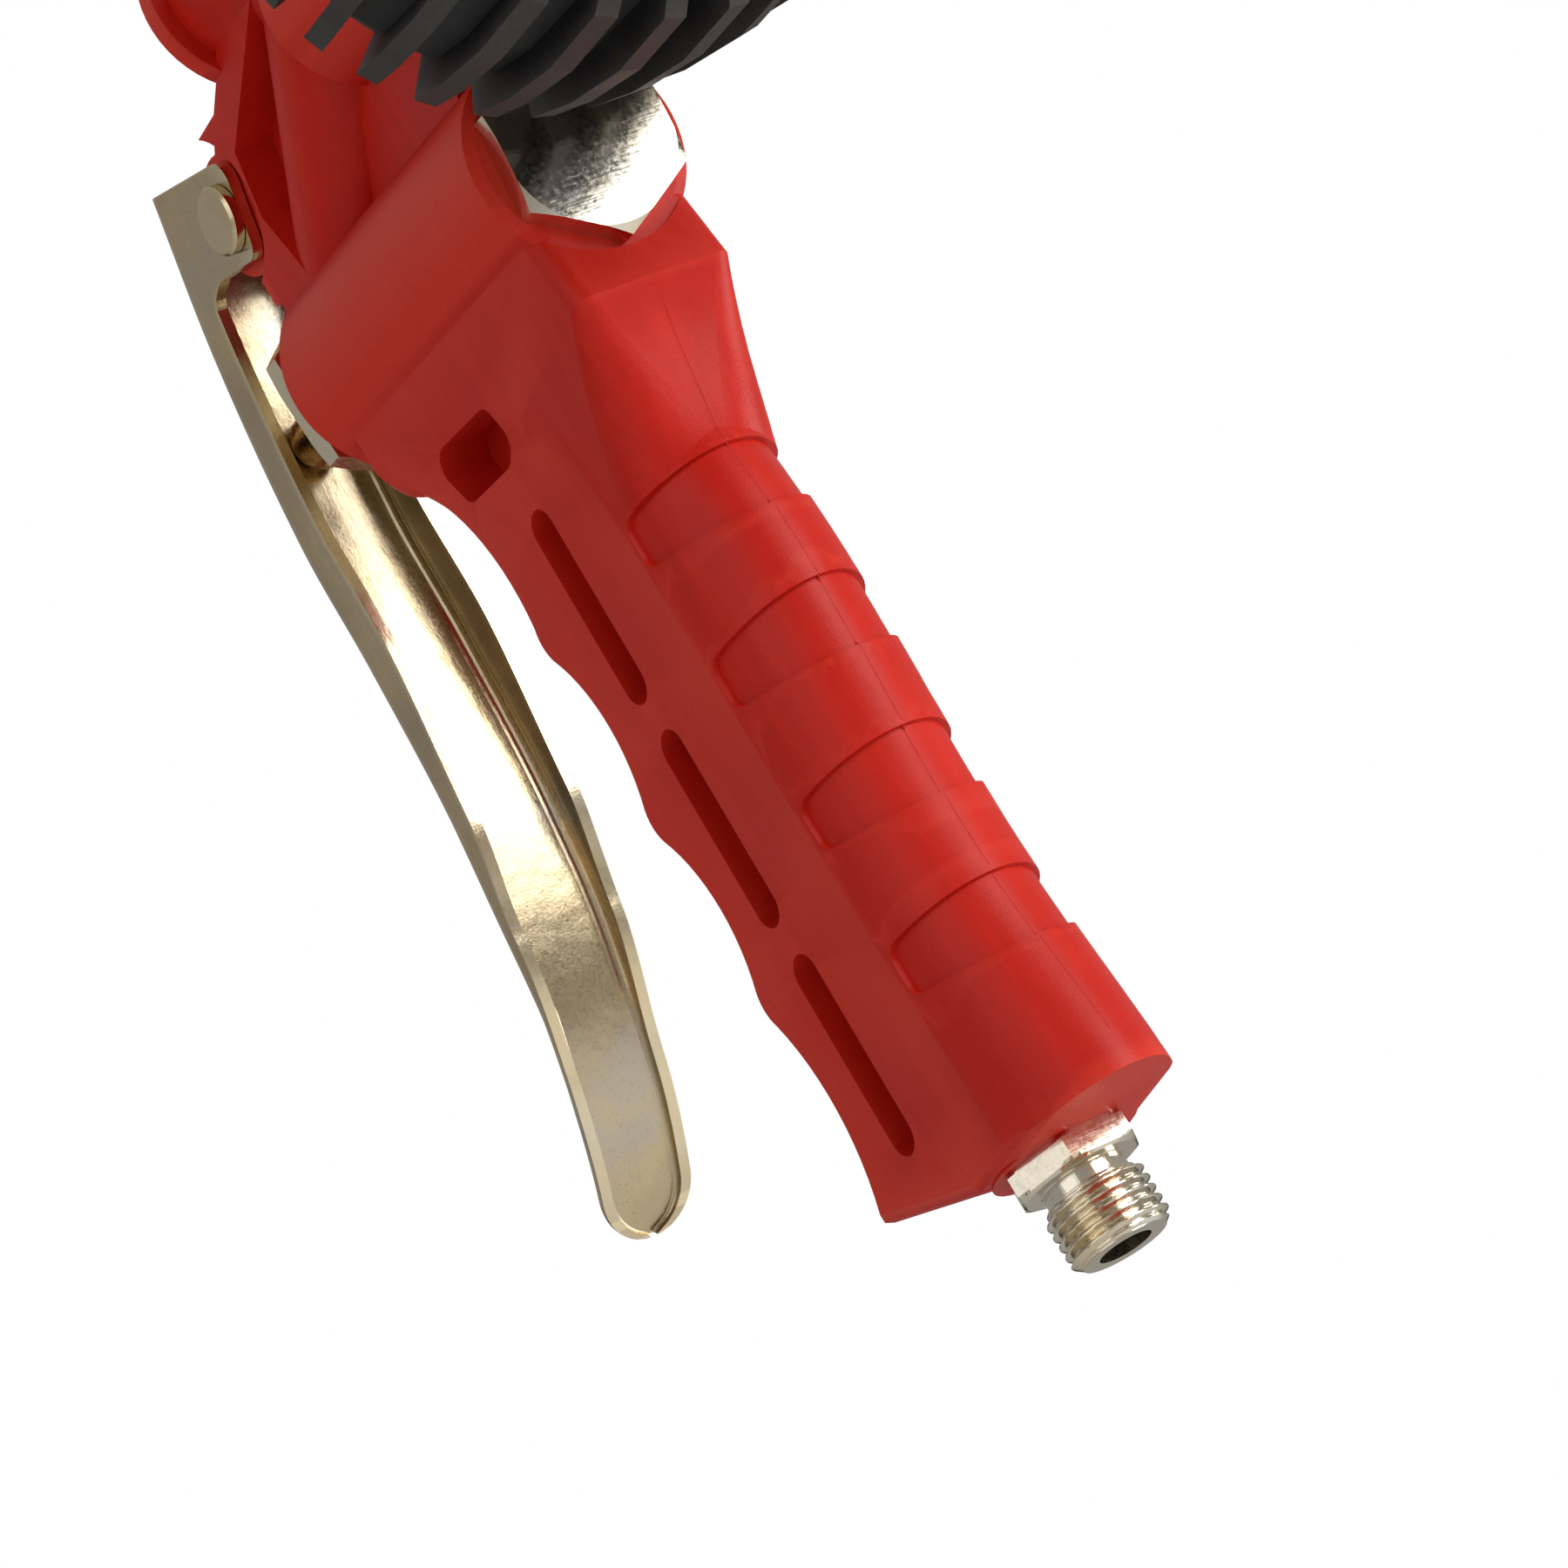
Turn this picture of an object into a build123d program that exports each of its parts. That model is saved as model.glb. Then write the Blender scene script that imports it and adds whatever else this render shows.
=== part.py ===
"""Tyre inflator with a dial gauge: pistol-grip body, squeeze lever, spool valve, Bourdon gauge.

Millimetres, +Z up the grip. The origin is the centre of the inlet thread's lower end.
+X is the rear, where the dial faces the user. The lever hangs at the front, at -X.
The valve bore crosses the top of the grip, tilted nose-up. The gauge axis is parallel to it.
"""
from build123d import *
from math import cos, pi, radians, sin
import os

os.makedirs("parts", exist_ok=True)

# ---- driving dimensions: grip and barrel ----
grip_width = 22.0
grip_nose = 19.5
grip_nose_start = 3.8
grip_seat = 13.2
heel_flare = 2.3
finger_pitch = 26.2
finger_depth = 3.6
crest_round = 3.0
crest_fall = 0.7
edge_ease = 2.6
crest_x = -24.4
crest_z = 49.3
bore_height = 143.8
bore_tilt = 9.8
barrel_radius = 14.0
barrel_front = -39.6
barrel_rear = 25.3
slot_width = 5.4
slot_length = 27.0
slot_pitch = 31.2
slot_depth = 7.0
pad_pitch = 19.9
pad_depth = 0.6

# ---- driving dimensions: head ----
head_width = 18.0
web_width = 7.0
rib = 4.2
column_radius = 9.0
column_lean = 52.0
column_s = -38.7
outlet_up = 48.6
outlet_front = -30.0
outlet_radius = 11.5
outlet_flange = 13.6
gauge_up = 36.0
hub_radius = 12.0
hub_rear = 33.1

# ---- driving dimensions: valve ----
bore_radius = 9.55
sleeve_wall = 2.5
seat_gap = 0.05
running_gap = 0.06
hex_flats = 22.0
gland_flats = 25.0
gland_turn = 22.0
rim_ease = 1.4
plug_head = 3.3
gland_head = 3.9
shank = 5.6
stem_radius = 4.0
stem_reach = 26.0
passage_radius = 3.0

# ---- driving dimensions: inlet and outlet fittings ----
inlet_thread_radius = 6.58
inlet_thread = 7.6
inlet_flats = 15.0
inlet_hex = 3.6
inlet_shank_radius = 7.5
inlet_shank = 17.0
outlet_thread_radius = 5.73
outlet_shank_radius = 8.0
outlet_shank = 12.0

# ---- driving dimensions: lever ----
sheet = 1.5
lever_half = 8.0
lever_side_gap = 0.3
pivot_x = -39.8
pivot_z = 176.9
pin_radius = 3.0
pin_head_radius = 4.5
pin_head = 1.5
boss_radius = 8.0

# ---- driving dimensions: gauge ----
hub_gap = 0.5
boot_wall = 2.6
boot_lip = 2.8
fin_height = 3.9
fin_count = 30
fin_width = 2.7
case_radius = 31.0
case_length = 33.0
case_wall = 1.2
gasket_thick = 1.0
window_thick = 2.0
bezel_lip = 1.9
socket_radius = 6.5
gear_module = 0.4
pinion_teeth = 12
sector_teeth = 72
pointer_sweep = 270.0

boot_back = hub_rear + hub_gap
tilt = radians(bore_tilt)
rearward = Vector(cos(tilt), 0, -sin(tilt))
upward = Vector(sin(tilt), 0, cos(tilt))


def at(s, up=0.0):
    """Point s along the bore and up square to it, counted from above the origin."""
    return Vector(0, 0, bore_height) + rearward * s + upward * up


def side(s, up=0.0):
    """Mid-plane sketch plane: local x runs rearward along the bore, local y square to it."""
    return Plane(origin=at(s, up), x_dir=rearward, z_dir=(0, -1, 0))


def across(s, up=0.0):
    """Plane square to the bore: local x is +Y, local y is up, extrusions go rearward."""
    return Plane(origin=at(s, up), x_dir=(0, 1, 0), z_dir=rearward)


def flat_point(point):
    """Mid-plane sketch coordinates of a point."""
    return (point.X, point.Z)


def tube(plane, outer, inner, length, mode=Mode.ADD):
    """Ring of one length on a plane; inner 0 makes it a plain disc."""
    with BuildSketch(plane) as section:
        Circle(outer)
        if inner > 0:
            Circle(inner, mode=Mode.SUBTRACT)
    return extrude(section.sketch, amount=length, mode=mode)


def turned(plane, points, mode=Mode.ADD):
    """Turned piece: points are (length along the plane's normal, radius)."""
    section_plane = Plane(origin=plane.origin, x_dir=plane.z_dir, z_dir=plane.x_dir)
    with BuildSketch(section_plane) as section:
        with BuildLine():
            Polyline(*points, close=True)
        make_face()
    return revolve(section.sketch, axis=Axis(plane.origin, plane.z_dir), mode=mode)


def hexagon(plane, flats, length, corner_cut, turn=0.0):
    """Hexagon head with its outer end turned to a shallow chamfer."""
    corner = flats / 3**0.5
    with BuildSketch(plane) as section:
        RegularPolygon(flats / 2, 6, major_radius=False, rotation=turn)
    bar = extrude(section.sketch, amount=length, mode=Mode.PRIVATE)
    outline = ((0, 0), (0, corner + 0.1), (length - corner_cut, corner + 0.1))
    outline += ((length, corner - 1.9 * corner_cut), (length, 0))
    return add(bar & turned(plane, outline, mode=Mode.PRIVATE))


def oring(centre_plane, radius, thickness):
    """Torus seal: the plane is a side plane at the ring's centre, radius is to its section's centre."""
    with BuildSketch(centre_plane) as section:
        with Locations((0, radius)):
            Circle(thickness / 2)
    axis = Axis(centre_plane.origin, centre_plane.x_dir)
    return revolve(section.sketch, axis=axis)


# ---- handle_body: one glass-filled nylon moulding ----
half_grip = grip_width / 2
round_half = half_grip + 0.15
grip_top = bore_height + 4


def grip_section(nose):
    """Grip section: a half-ellipse rear a little fuller than the flat sides that trim it."""
    Line((-60, -round_half - 1.5), (grip_nose_start, -round_half))
    EllipticalCenterArc(
        (grip_nose_start, 0), nose - grip_nose_start, round_half, start_angle=-90, arc_size=180
    )
    Line((grip_nose_start, round_half), (-60, round_half + 1.5))
    Line((-60, round_half + 1.5), (-60, -round_half - 1.5))


with BuildPart() as grip_round:
    for height, nose in (
        (grip_seat - 4, grip_nose + heel_flare),
        (grip_seat + 6, grip_nose + heel_flare * 0.8),
        (grip_seat + 20, grip_nose - 0.3),
        (grip_seat + 60, grip_nose + 0.4),
        (crest_z + 2 * finger_pitch, grip_nose - 0.8),
        (grip_top, grip_nose - 2.0),
    ):
        with BuildSketch(Plane.XY.offset(height)) as grip_slice:
            with BuildLine():
                grip_section(nose)
            make_face()
    loft()

with BuildPart() as grip_side:
    with BuildSketch(Plane.XZ) as grip_outline:
        with BuildLine():
            front_toe = (crest_x - 2.6, grip_seat + 7.6)
            Polyline(
                front_toe,
                (-4.0, grip_seat),
                (grip_nose + heel_flare + 2, grip_seat),
                (grip_nose + heel_flare + 2, grip_top),
                (-37.0, grip_top),
                (-37.0, bore_height - 8.5),
            )
            throat = (crest_x - 5.6, bore_height - 16.0)
            ThreePointArc((-37.0, bore_height - 8.5), (-34.6, bore_height - 12.5), throat)
            crest_ends = []
            for k in range(3):
                crest = (crest_x, crest_z + k * finger_pitch)
                below = (crest_x + crest_fall, crest[1] - crest_round)
                above = (crest_x + crest_fall, crest[1] + crest_round)
                ThreePointArc(below, crest, above)
                crest_ends += [below, above]
            hollow_x = crest_x + finger_depth
            for k in (1, 3):
                lower, upper = crest_ends[k], crest_ends[k + 1]
                ThreePointArc(lower, (hollow_x, (lower[1] + upper[1]) / 2), upper)
            neck_mid = (crest_ends[5][1] + throat[1]) / 2
            ThreePointArc(throat, (crest_x + 0.7, neck_mid), crest_ends[5])
            ThreePointArc(crest_ends[0], (crest_x + 2.4, crest_z - 11.0), front_toe)
        make_face()
    # half the width, its edge eased in two slopes, then mirrored
    extrude(amount=half_grip - edge_ease)
    for depth, slope in ((0.6 * edge_ease, 16), (0.4 * edge_ease, 48)):
        flat = grip_side.faces().sort_by(Axis.Y)[0]
        extrude(flat, amount=depth, taper=slope)
    mirror(about=Plane.XZ)

def stadium(k):
    """One of the three lightening slots down each flat side."""
    x = -8.7 - 0.95 * k
    z = crest_z + 49.6 - slot_pitch * k
    with Locations((x, z)):
        SlotOverall(slot_length, slot_width, rotation=88)


def side_recess(sketch, depth, mode=Mode.SUBTRACT):
    """Sink a mid-plane sketch into both flat sides of the grip."""
    for plane_y, sense in ((-half_grip - 3, -1), (half_grip + 3, 1)):
        placed = Plane.XZ.offset(-plane_y).from_local_coords(sketch)
        extrude(placed, amount=sense * (depth + 3), mode=mode)


with BuildSketch(Plane.XY) as slots:
    for k in range(3):
        stadium(k)

with BuildSketch(Plane.XY) as thumb_hole:
    with BuildLine():
        Polyline(
            (-20.6, bore_height - 14.8),
            (-5.2, bore_height - 17.8),
            (-3.8, bore_height - 23.6),
            (-7.2, bore_height - 25.4),
            (-19.6, bore_height - 23.0),
            (-21.6, bore_height - 17.8),
            close=True,
        )
    make_face()
    fillet(thumb_hole.vertices(), 2.4)

with BuildPart() as grip_front:
    add(grip_side.part)
    add(grip_round.part, mode=Mode.INTERSECT)
    # lightening slots and the deep recess in both flat sides
    side_recess(slots.sketch, slot_depth)
    side_recess(thumb_hole.sketch, slot_depth)


def thumb_pad(k):
    """Shallow wrap-round pad on the rear of the grip, as a cutting skin."""
    top = crest_z + 51.2 - pad_pitch * k
    with BuildSketch(Plane.XZ) as outline:
        with BuildLine():
            Polyline(
                (7.2, top),
                (grip_nose + 6, top + 0.8),
                (grip_nose + 6, top - 10.0),
                (7.2, top - 6.4),
                close=True,
            )
        make_face()
        fillet(outline.vertices().group_by(Axis.X)[0], 2.0)
    return extrude(outline.sketch, amount=half_grip + 1, both=True, mode=Mode.PRIVATE)


with BuildPart() as pad_core:
    for height, nose in (
        (grip_seat - 4, grip_nose + heel_flare - pad_depth),
        (grip_seat + 6, grip_nose + heel_flare * 0.8 - pad_depth),
        (grip_seat + 20, grip_nose - 0.3 - pad_depth),
        (grip_seat + 60, grip_nose + 0.4 - pad_depth),
        (crest_z + 2 * finger_pitch, grip_nose - 0.8 - pad_depth),
        (grip_top, grip_nose - 2.0 - pad_depth),
    ):
        with BuildSketch(Plane.XY.offset(height)) as pad_slice:
            with BuildLine():
                Line((-60, pad_depth - half_grip), (grip_nose_start, pad_depth - half_grip))
                EllipticalCenterArc(
                    (grip_nose_start, 0),
                    nose - grip_nose_start,
                    half_grip - pad_depth,
                    start_angle=-90,
                    arc_size=180,
                )
                Line((grip_nose_start, half_grip - pad_depth), (-60, half_grip - pad_depth))
                Line((-60, half_grip - pad_depth), (-60, pad_depth - half_grip))
            make_face()
    loft()

column_foot = at(column_s)
column_dir = (rearward * cos(radians(column_lean)) + upward * sin(radians(column_lean))).normalized()
column_length = outlet_up / sin(radians(column_lean))
column_plane = Plane(origin=column_foot, x_dir=(0, 1, 0), z_dir=column_dir)
passage_plane = Plane(
    origin=column_foot + rearward * 4.0, x_dir=(0, 1, 0), z_dir=column_dir
)
head_crown = at(outlet_front + 8.0, outlet_up)
pivot = Vector(pivot_x, 0, pivot_z)

with BuildPart() as head_rib:
    with BuildSketch(Plane.XZ):
        with BuildLine():
            Polyline(
                (pivot_x + 1.3, bore_height + 4),
                (pivot_x + 1.3, pivot_z - 2),
                (pivot_x + 1.3, pivot_z + 6.6),
                (pivot_x + 4.6, pivot_z + 8.6),
                (pivot_x + 12.6, pivot_z + 7.8),
                (pivot_x + 18.2, pivot_z + 9.9),
                (head_crown.X + 14, head_crown.Z + 4),
                (head_crown.X + 22, head_crown.Z - 4),
                (pivot_x + 12.2, pivot_z + 2.2),
                (pivot_x + 9.6, pivot_z - 6.0),
                (pivot_x + 15.0, bore_height + 4),
                close=True,
            )
        make_face()
    extrude(amount=head_width / 2, both=True)

with BuildPart() as head_web:
    with BuildSketch(Plane.XZ):
        with BuildLine():
            Polyline(
                (pivot_x + 1.3, bore_height + 4),
                (pivot_x + 1.3, pivot_z + 4),
                (pivot_x + 12.6, pivot_z + 6.8),
                (head_crown.X + 14, head_crown.Z),
                flat_point(at(hub_rear - 6.0, gauge_up + 6.0)),
                flat_point(at(hub_rear - 6.0, gauge_up - 6.0)),
                flat_point(at(8.0, barrel_radius - 4)),
                close=True,
            )
        make_face()
    extrude(amount=web_width / 2, both=True)



def block_section(height, nose, half, corner):
    """Flat-sided section of the shoulder, rounded at its two rear corners."""
    with BuildSketch(Plane.XY.offset(height)) as section:
        with BuildLine():
            square = corner * (1 - cos(radians(45)))
            Line((0, -half), (nose - corner, -half))
            ThreePointArc(
                (nose - corner, -half), (nose - square, square - half), (nose, corner - half)
            )
            Line((nose, corner - half), (nose, half - corner))
            ThreePointArc(
                (nose, half - corner), (nose - square, half - square), (nose - corner, half)
            )
            Line((nose - corner, half), (0, half))
            Line((0, half), (0, -half))
        make_face()
    return section.sketch.face()


shoulder_z = bore_height - 22.6
with BuildPart() as shoulder_foot:
    loft(
        [
            block_section(shoulder_z - 21.0, grip_nose - 2.4, half_grip - 0.6, 9.2),
            block_section(shoulder_z - 12.0, grip_nose + 0.6, half_grip - 0.2, 7.4),
            block_section(shoulder_z - 5.0, grip_nose + 2.7, half_grip, 4.6),
            block_section(shoulder_z, grip_nose + 5.3, half_grip, 2.4),
        ]
    )

with BuildPart() as shoulder_top:
    loft(
        [
            block_section(shoulder_z, grip_nose + 5.3, half_grip, 2.4),
            block_section(bore_height - 12.0, grip_nose + 3.6, half_grip, 2.4),
            block_section(grip_top, grip_nose - 6.0, half_grip, 2.4),
        ],
        ruled=True,
    )

barrel_length = barrel_rear - barrel_front
barrel_profile = (
    (0, 0),
    (0, barrel_radius - rim_ease),
    (rim_ease / 2, barrel_radius),
    (barrel_length - rim_ease / 2, barrel_radius),
    (barrel_length, barrel_radius - rim_ease),
    (barrel_length, 0),
)

with BuildPart() as handle_body:
    add(grip_front.part)
    add(shoulder_foot.part)
    add(shoulder_top.part)
    turned(across(barrel_front), barrel_profile)
    tube(Plane.XY.offset(grip_seat), inlet_flats / 3**0.5 + 0.9, 0, 8.0)
    add(head_web.part)
    add(head_rib.part)
    tube(column_plane, column_radius, 0, column_length)
    tube(across(outlet_front, outlet_up), outlet_flange, 0, 3.2)
    tube(across(outlet_front + 2, outlet_up), outlet_radius, 0, 40.0)
    tube(across(-6.0, gauge_up), hub_radius, 0, hub_rear + 6.0)
    # faces spot-faced round the two hexagon heads and the outlet bush
    tube(across(barrel_front - 9), gland_flats / 3**0.5 + 0.5, 0, 9, Mode.SUBTRACT)
    tube(across(barrel_rear), hex_flats / 3**0.5 + 0.7, 0, 9, Mode.SUBTRACT)
    tube(across(outlet_front - 7, outlet_up), outlet_radius, 0, 7, Mode.SUBTRACT)
    # pivot boss, thinned so that the lever's ears pass beside it
    ear_pocket = boss_radius + 2.4
    with BuildSketch(Plane.XZ.offset(lever_half - sheet - lever_side_gap)):
        with Locations((pivot_x, pivot_z)):
            Circle(ear_pocket)
    extrude(amount=grip_width, mode=Mode.SUBTRACT)
    with BuildSketch(Plane.XZ.offset(-(lever_half - sheet - lever_side_gap))):
        with Locations((pivot_x, pivot_z)):
            Circle(ear_pocket)
    extrude(amount=-grip_width, mode=Mode.SUBTRACT)
    with BuildSketch(Plane.XZ):
        with Locations((pivot_x, pivot_z)):
            Circle(boss_radius)
    extrude(amount=lever_half - sheet - lever_side_gap, both=True)
    # shallow pads round the rear of the grip
    for k in range(4):
        pad = thumb_pad(k)
        add(pad - pad_core.part, mode=Mode.SUBTRACT)
    # valve bore, inlet socket and air passages
    tube(across(barrel_front - 1), bore_radius, 0, barrel_rear - barrel_front + 2, Mode.SUBTRACT)
    tube(
        Plane.XY.offset(grip_seat - 1),
        inlet_shank_radius + seat_gap,
        0,
        inlet_shank + 1 + 2.0,
        Mode.SUBTRACT,
    )
    tube(
        Plane.XY.offset(grip_seat + inlet_shank),
        passage_radius,
        0,
        bore_height - grip_seat - inlet_shank,
        Mode.SUBTRACT,
    )
    tube(passage_plane, passage_radius, 0, column_length, Mode.SUBTRACT)
    tube(
        across(outlet_front - 1, outlet_up),
        outlet_shank_radius + seat_gap,
        0,
        outlet_shank + 1.5,
        Mode.SUBTRACT,
    )
    tube(
        across(outlet_front + 5, outlet_up),
        passage_radius + 0.6,
        0,
        -outlet_front - 2.0,
        Mode.SUBTRACT,
    )
    tube(across(-8.0, gauge_up), passage_radius - 0.5, 0, hub_rear + 9, Mode.SUBTRACT)
    tube(
        across(hub_rear - 16.0, gauge_up), socket_radius + seat_gap, 0, 17.0, Mode.SUBTRACT
    )
    tube(across(hub_rear - 1.5, gauge_up), socket_radius + 3.6, 0, 2.5, Mode.SUBTRACT)
    # pivot bore
    with BuildSketch(Plane.XZ):
        with Locations((pivot_x, pivot_z)):
            Circle(pin_radius + 0.02)
    extrude(amount=head_width, both=True, mode=Mode.SUBTRACT)
handle_body.part.label = "handle_body"
export_step(handle_body.part, "parts/handle_body.step")

# ---- inlet: nickel-plated connector, its seal and the sintered filter ----
inlet_neck = grip_seat - inlet_thread - inlet_hex
filter_floor = grip_seat + 5.0
seal_cord = 1.5


def upright(z):
    """Side plane on the grip axis: local x runs up, local y is the radius."""
    return Plane(origin=(0, 0, z), x_dir=(0, 0, 1), z_dir=(0, -1, 0))


with BuildPart() as inlet_connector:
    tube(Plane.XY, inlet_thread_radius, 0, inlet_thread)
    tube(Plane.XY.offset(inlet_thread), inlet_thread_radius - 1.3, 0, inlet_neck)
    with BuildSketch(Plane.XY.offset(inlet_thread + inlet_neck)):
        RegularPolygon(inlet_flats / 2, 6, major_radius=False)
    extrude(amount=inlet_hex)
    tube(Plane.XY.offset(grip_seat), inlet_shank_radius, 0, inlet_shank)
    tube(Plane.XY, passage_radius + 0.4, 0, grip_seat + inlet_shank, Mode.SUBTRACT)
    tube(Plane.XY.offset(filter_floor), 5.2, 0, inlet_shank, Mode.SUBTRACT)
    tube(
        Plane.XY.offset(grip_seat + 9.0),
        inlet_shank_radius + 1,
        inlet_shank_radius - seal_cord,
        seal_cord + 0.4,
        Mode.SUBTRACT,
    )
inlet_connector.part.label = "inlet_connector"
export_step(inlet_connector.part, "parts/inlet_connector.step")

with BuildPart() as inlet_seal:
    oring(
        upright(grip_seat + 9.0 + seal_cord / 2 + 0.2),
        inlet_shank_radius - seal_cord / 2 + 0.02,
        seal_cord - 0.06,
    )
inlet_seal.part.label = "inlet_seal"
export_step(inlet_seal.part, "parts/inlet_seal.step")

with BuildPart() as inlet_filter:
    tube(Plane.XY.offset(filter_floor + 0.1), 5.1, 3.7, inlet_shank - 6.5)
    tube(Plane.XY.offset(grip_seat + inlet_shank - 2.9), 5.1, 0, 1.5)
inlet_filter.part.label = "inlet_filter"
export_step(inlet_filter.part, "parts/inlet_filter.step")

# ---- valve: brass sleeve between a rear plug and a front gland ----
sleeve_front = barrel_front + shank
sleeve_rear = barrel_rear - shank
sleeve_outer = bore_radius - seat_gap
sleeve_inner = sleeve_outer - sleeve_wall

with BuildPart() as valve_sleeve:
    tube(
        across(sleeve_front + seat_gap), sleeve_outer, sleeve_inner,
        sleeve_rear - sleeve_front - 2 * seat_gap,
    )
    tube(Plane.XY.offset(bore_height - 12), passage_radius - 0.4, 0, 12, Mode.SUBTRACT)
    tube(passage_plane, passage_radius - 0.4, 0, 16, Mode.SUBTRACT)
valve_sleeve.part.label = "valve_sleeve"
export_step(valve_sleeve.part, "parts/valve_sleeve.step")

pocket_radius = 5.6
pocket_depth = 3.0
with BuildPart() as rear_plug:
    hexagon(across(barrel_rear), hex_flats, plug_head, 0.75, turn=30)
    tube(across(sleeve_rear), sleeve_outer, 0, shank)
    tube(across(sleeve_rear), pocket_radius, 0, pocket_depth, Mode.SUBTRACT)
    tube(
        across(barrel_rear - 2.4), sleeve_outer + 1, sleeve_outer - seal_cord,
        seal_cord + 0.4, Mode.SUBTRACT,
    )
rear_plug.part.label = "rear_plug"
export_step(rear_plug.part, "parts/rear_plug.step")

with BuildPart() as plug_seal:
    oring(
        side(barrel_rear - 2.4 + seal_cord / 2 + 0.2), sleeve_outer - seal_cord / 2 + 0.02,
        seal_cord - 0.06,
    )
plug_seal.part.label = "plug_seal"
export_step(plug_seal.part, "parts/plug_seal.step")

gland_plane = Plane(origin=at(barrel_front), x_dir=(0, 1, 0), z_dir=rearward * -1)
with BuildPart() as front_gland:
    hexagon(gland_plane, gland_flats, gland_head, 0.75, turn=gland_turn)
    tube(across(barrel_front), sleeve_outer, 0, shank)
    tube(
        across(barrel_front - gland_head - 1), stem_radius + running_gap, 0,
        gland_head + shank + 2, Mode.SUBTRACT,
    )
    tube(
        across(barrel_front + 1.5), stem_radius + running_gap + seal_cord, 0,
        seal_cord + 0.4, Mode.SUBTRACT,
    )
front_gland.part.label = "front_gland"
export_step(front_gland.part, "parts/front_gland.step")

with BuildPart() as stem_seal:
    oring(
        side(barrel_front + 1.5 + seal_cord / 2 + 0.2),
        stem_radius + running_gap + seal_cord / 2 - 0.02, seal_cord - 0.06,
    )
stem_seal.part.label = "stem_seal"
export_step(stem_seal.part, "parts/stem_seal.step")

# ---- valve stem: push rod and spool in one, with three O-rings ----
stem_tip = barrel_front - stem_reach
land_radius = sleeve_inner - running_gap
front_land = (sleeve_front + 0.1, 3.1)
rear_land = (-6.0, 11.0)
groove = seal_cord + 0.3
spool_grooves = (front_land[0] + 0.6, rear_land[0] + 0.7, rear_land[0] + rear_land[1] - 2.6)
guide_radius = 3.2

with BuildPart() as valve_stem:
    tube(across(stem_tip), stem_radius, 0, rear_land[0] - stem_tip)
    nose_edge = valve_stem.edges().sort_by(Axis((0, 0, 0), rearward))[0]
    fillet(nose_edge, stem_radius * 0.6)
    tube(across(front_land[0]), land_radius, 0, front_land[1])
    tube(across(rear_land[0]), land_radius, 0, rear_land[1])
    tube(across(rear_land[0] + rear_land[1]), guide_radius, 0, 3.0)
    for s in spool_grooves:
        tube(across(s), land_radius + 1, land_radius - seal_cord, groove, Mode.SUBTRACT)
valve_stem.part.label = "valve_stem"
export_step(valve_stem.part, "parts/valve_stem.step")

with BuildPart() as spool_seals:
    for s in spool_grooves:
        oring(side(s + groove / 2), land_radius - seal_cord / 2 + 0.02, seal_cord - 0.06)
spool_seals.part.label = "spool_seals"
export_step(spool_seals.part, "parts/spool_seals.step")

# return spring between the spool and the rear plug's pocket
spring_wire = 0.9
spring_mean = (guide_radius + pocket_radius) / 2
spring_turns = 7
spring_start = rear_land[0] + rear_land[1] + spring_wire / 2 + 0.05
spring_end = sleeve_rear + pocket_depth - spring_wire / 2 - 0.05
with BuildPart() as valve_spring:
    with BuildLine() as coil:
        Helix(
            pitch=(spring_end - spring_start) / spring_turns,
            height=spring_end - spring_start,
            radius=spring_mean,
            center=at(spring_start),
            direction=rearward,
        )
    with BuildSketch(Plane(origin=coil.line @ 0, z_dir=coil.line % 0)):
        Circle(spring_wire / 2)
    sweep(path=coil.line, is_frenet=True)
valve_spring.part.label = "valve_spring"
export_step(valve_spring.part, "parts/valve_spring.step")

# ---- outlet: threaded bush for the hose, screwed in over an O-ring ----
outlet_head = 3.6
bush_plane = Plane(origin=at(outlet_front, outlet_up), x_dir=(0, 1, 0), z_dir=rearward * -1)
with BuildPart() as outlet_bush:
    hexagon(bush_plane, 2 * outlet_shank_radius + 3, outlet_head, 0.6, turn=30)
    tube(across(outlet_front, outlet_up), outlet_shank_radius, 0, outlet_shank)
    tube(
        across(outlet_front - outlet_head - 1, outlet_up), outlet_thread_radius, 0,
        outlet_head + outlet_shank - 1.0, Mode.SUBTRACT,
    )
    tube(across(outlet_front, outlet_up), passage_radius, 0, outlet_shank + 1, Mode.SUBTRACT)
    tube(
        across(outlet_front + 6.0, outlet_up), outlet_shank_radius + 1,
        outlet_shank_radius - seal_cord, seal_cord + 0.4, Mode.SUBTRACT,
    )
outlet_bush.part.label = "outlet_bush"
export_step(outlet_bush.part, "parts/outlet_bush.step")

with BuildPart() as outlet_seal:
    oring(
        side(outlet_front + 6.0 + seal_cord / 2 + 0.2, outlet_up),
        outlet_shank_radius - seal_cord / 2 + 0.02, seal_cord - 0.06,
    )
outlet_seal.part.label = "outlet_seal"
export_step(outlet_seal.part, "parts/outlet_seal.step")

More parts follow.
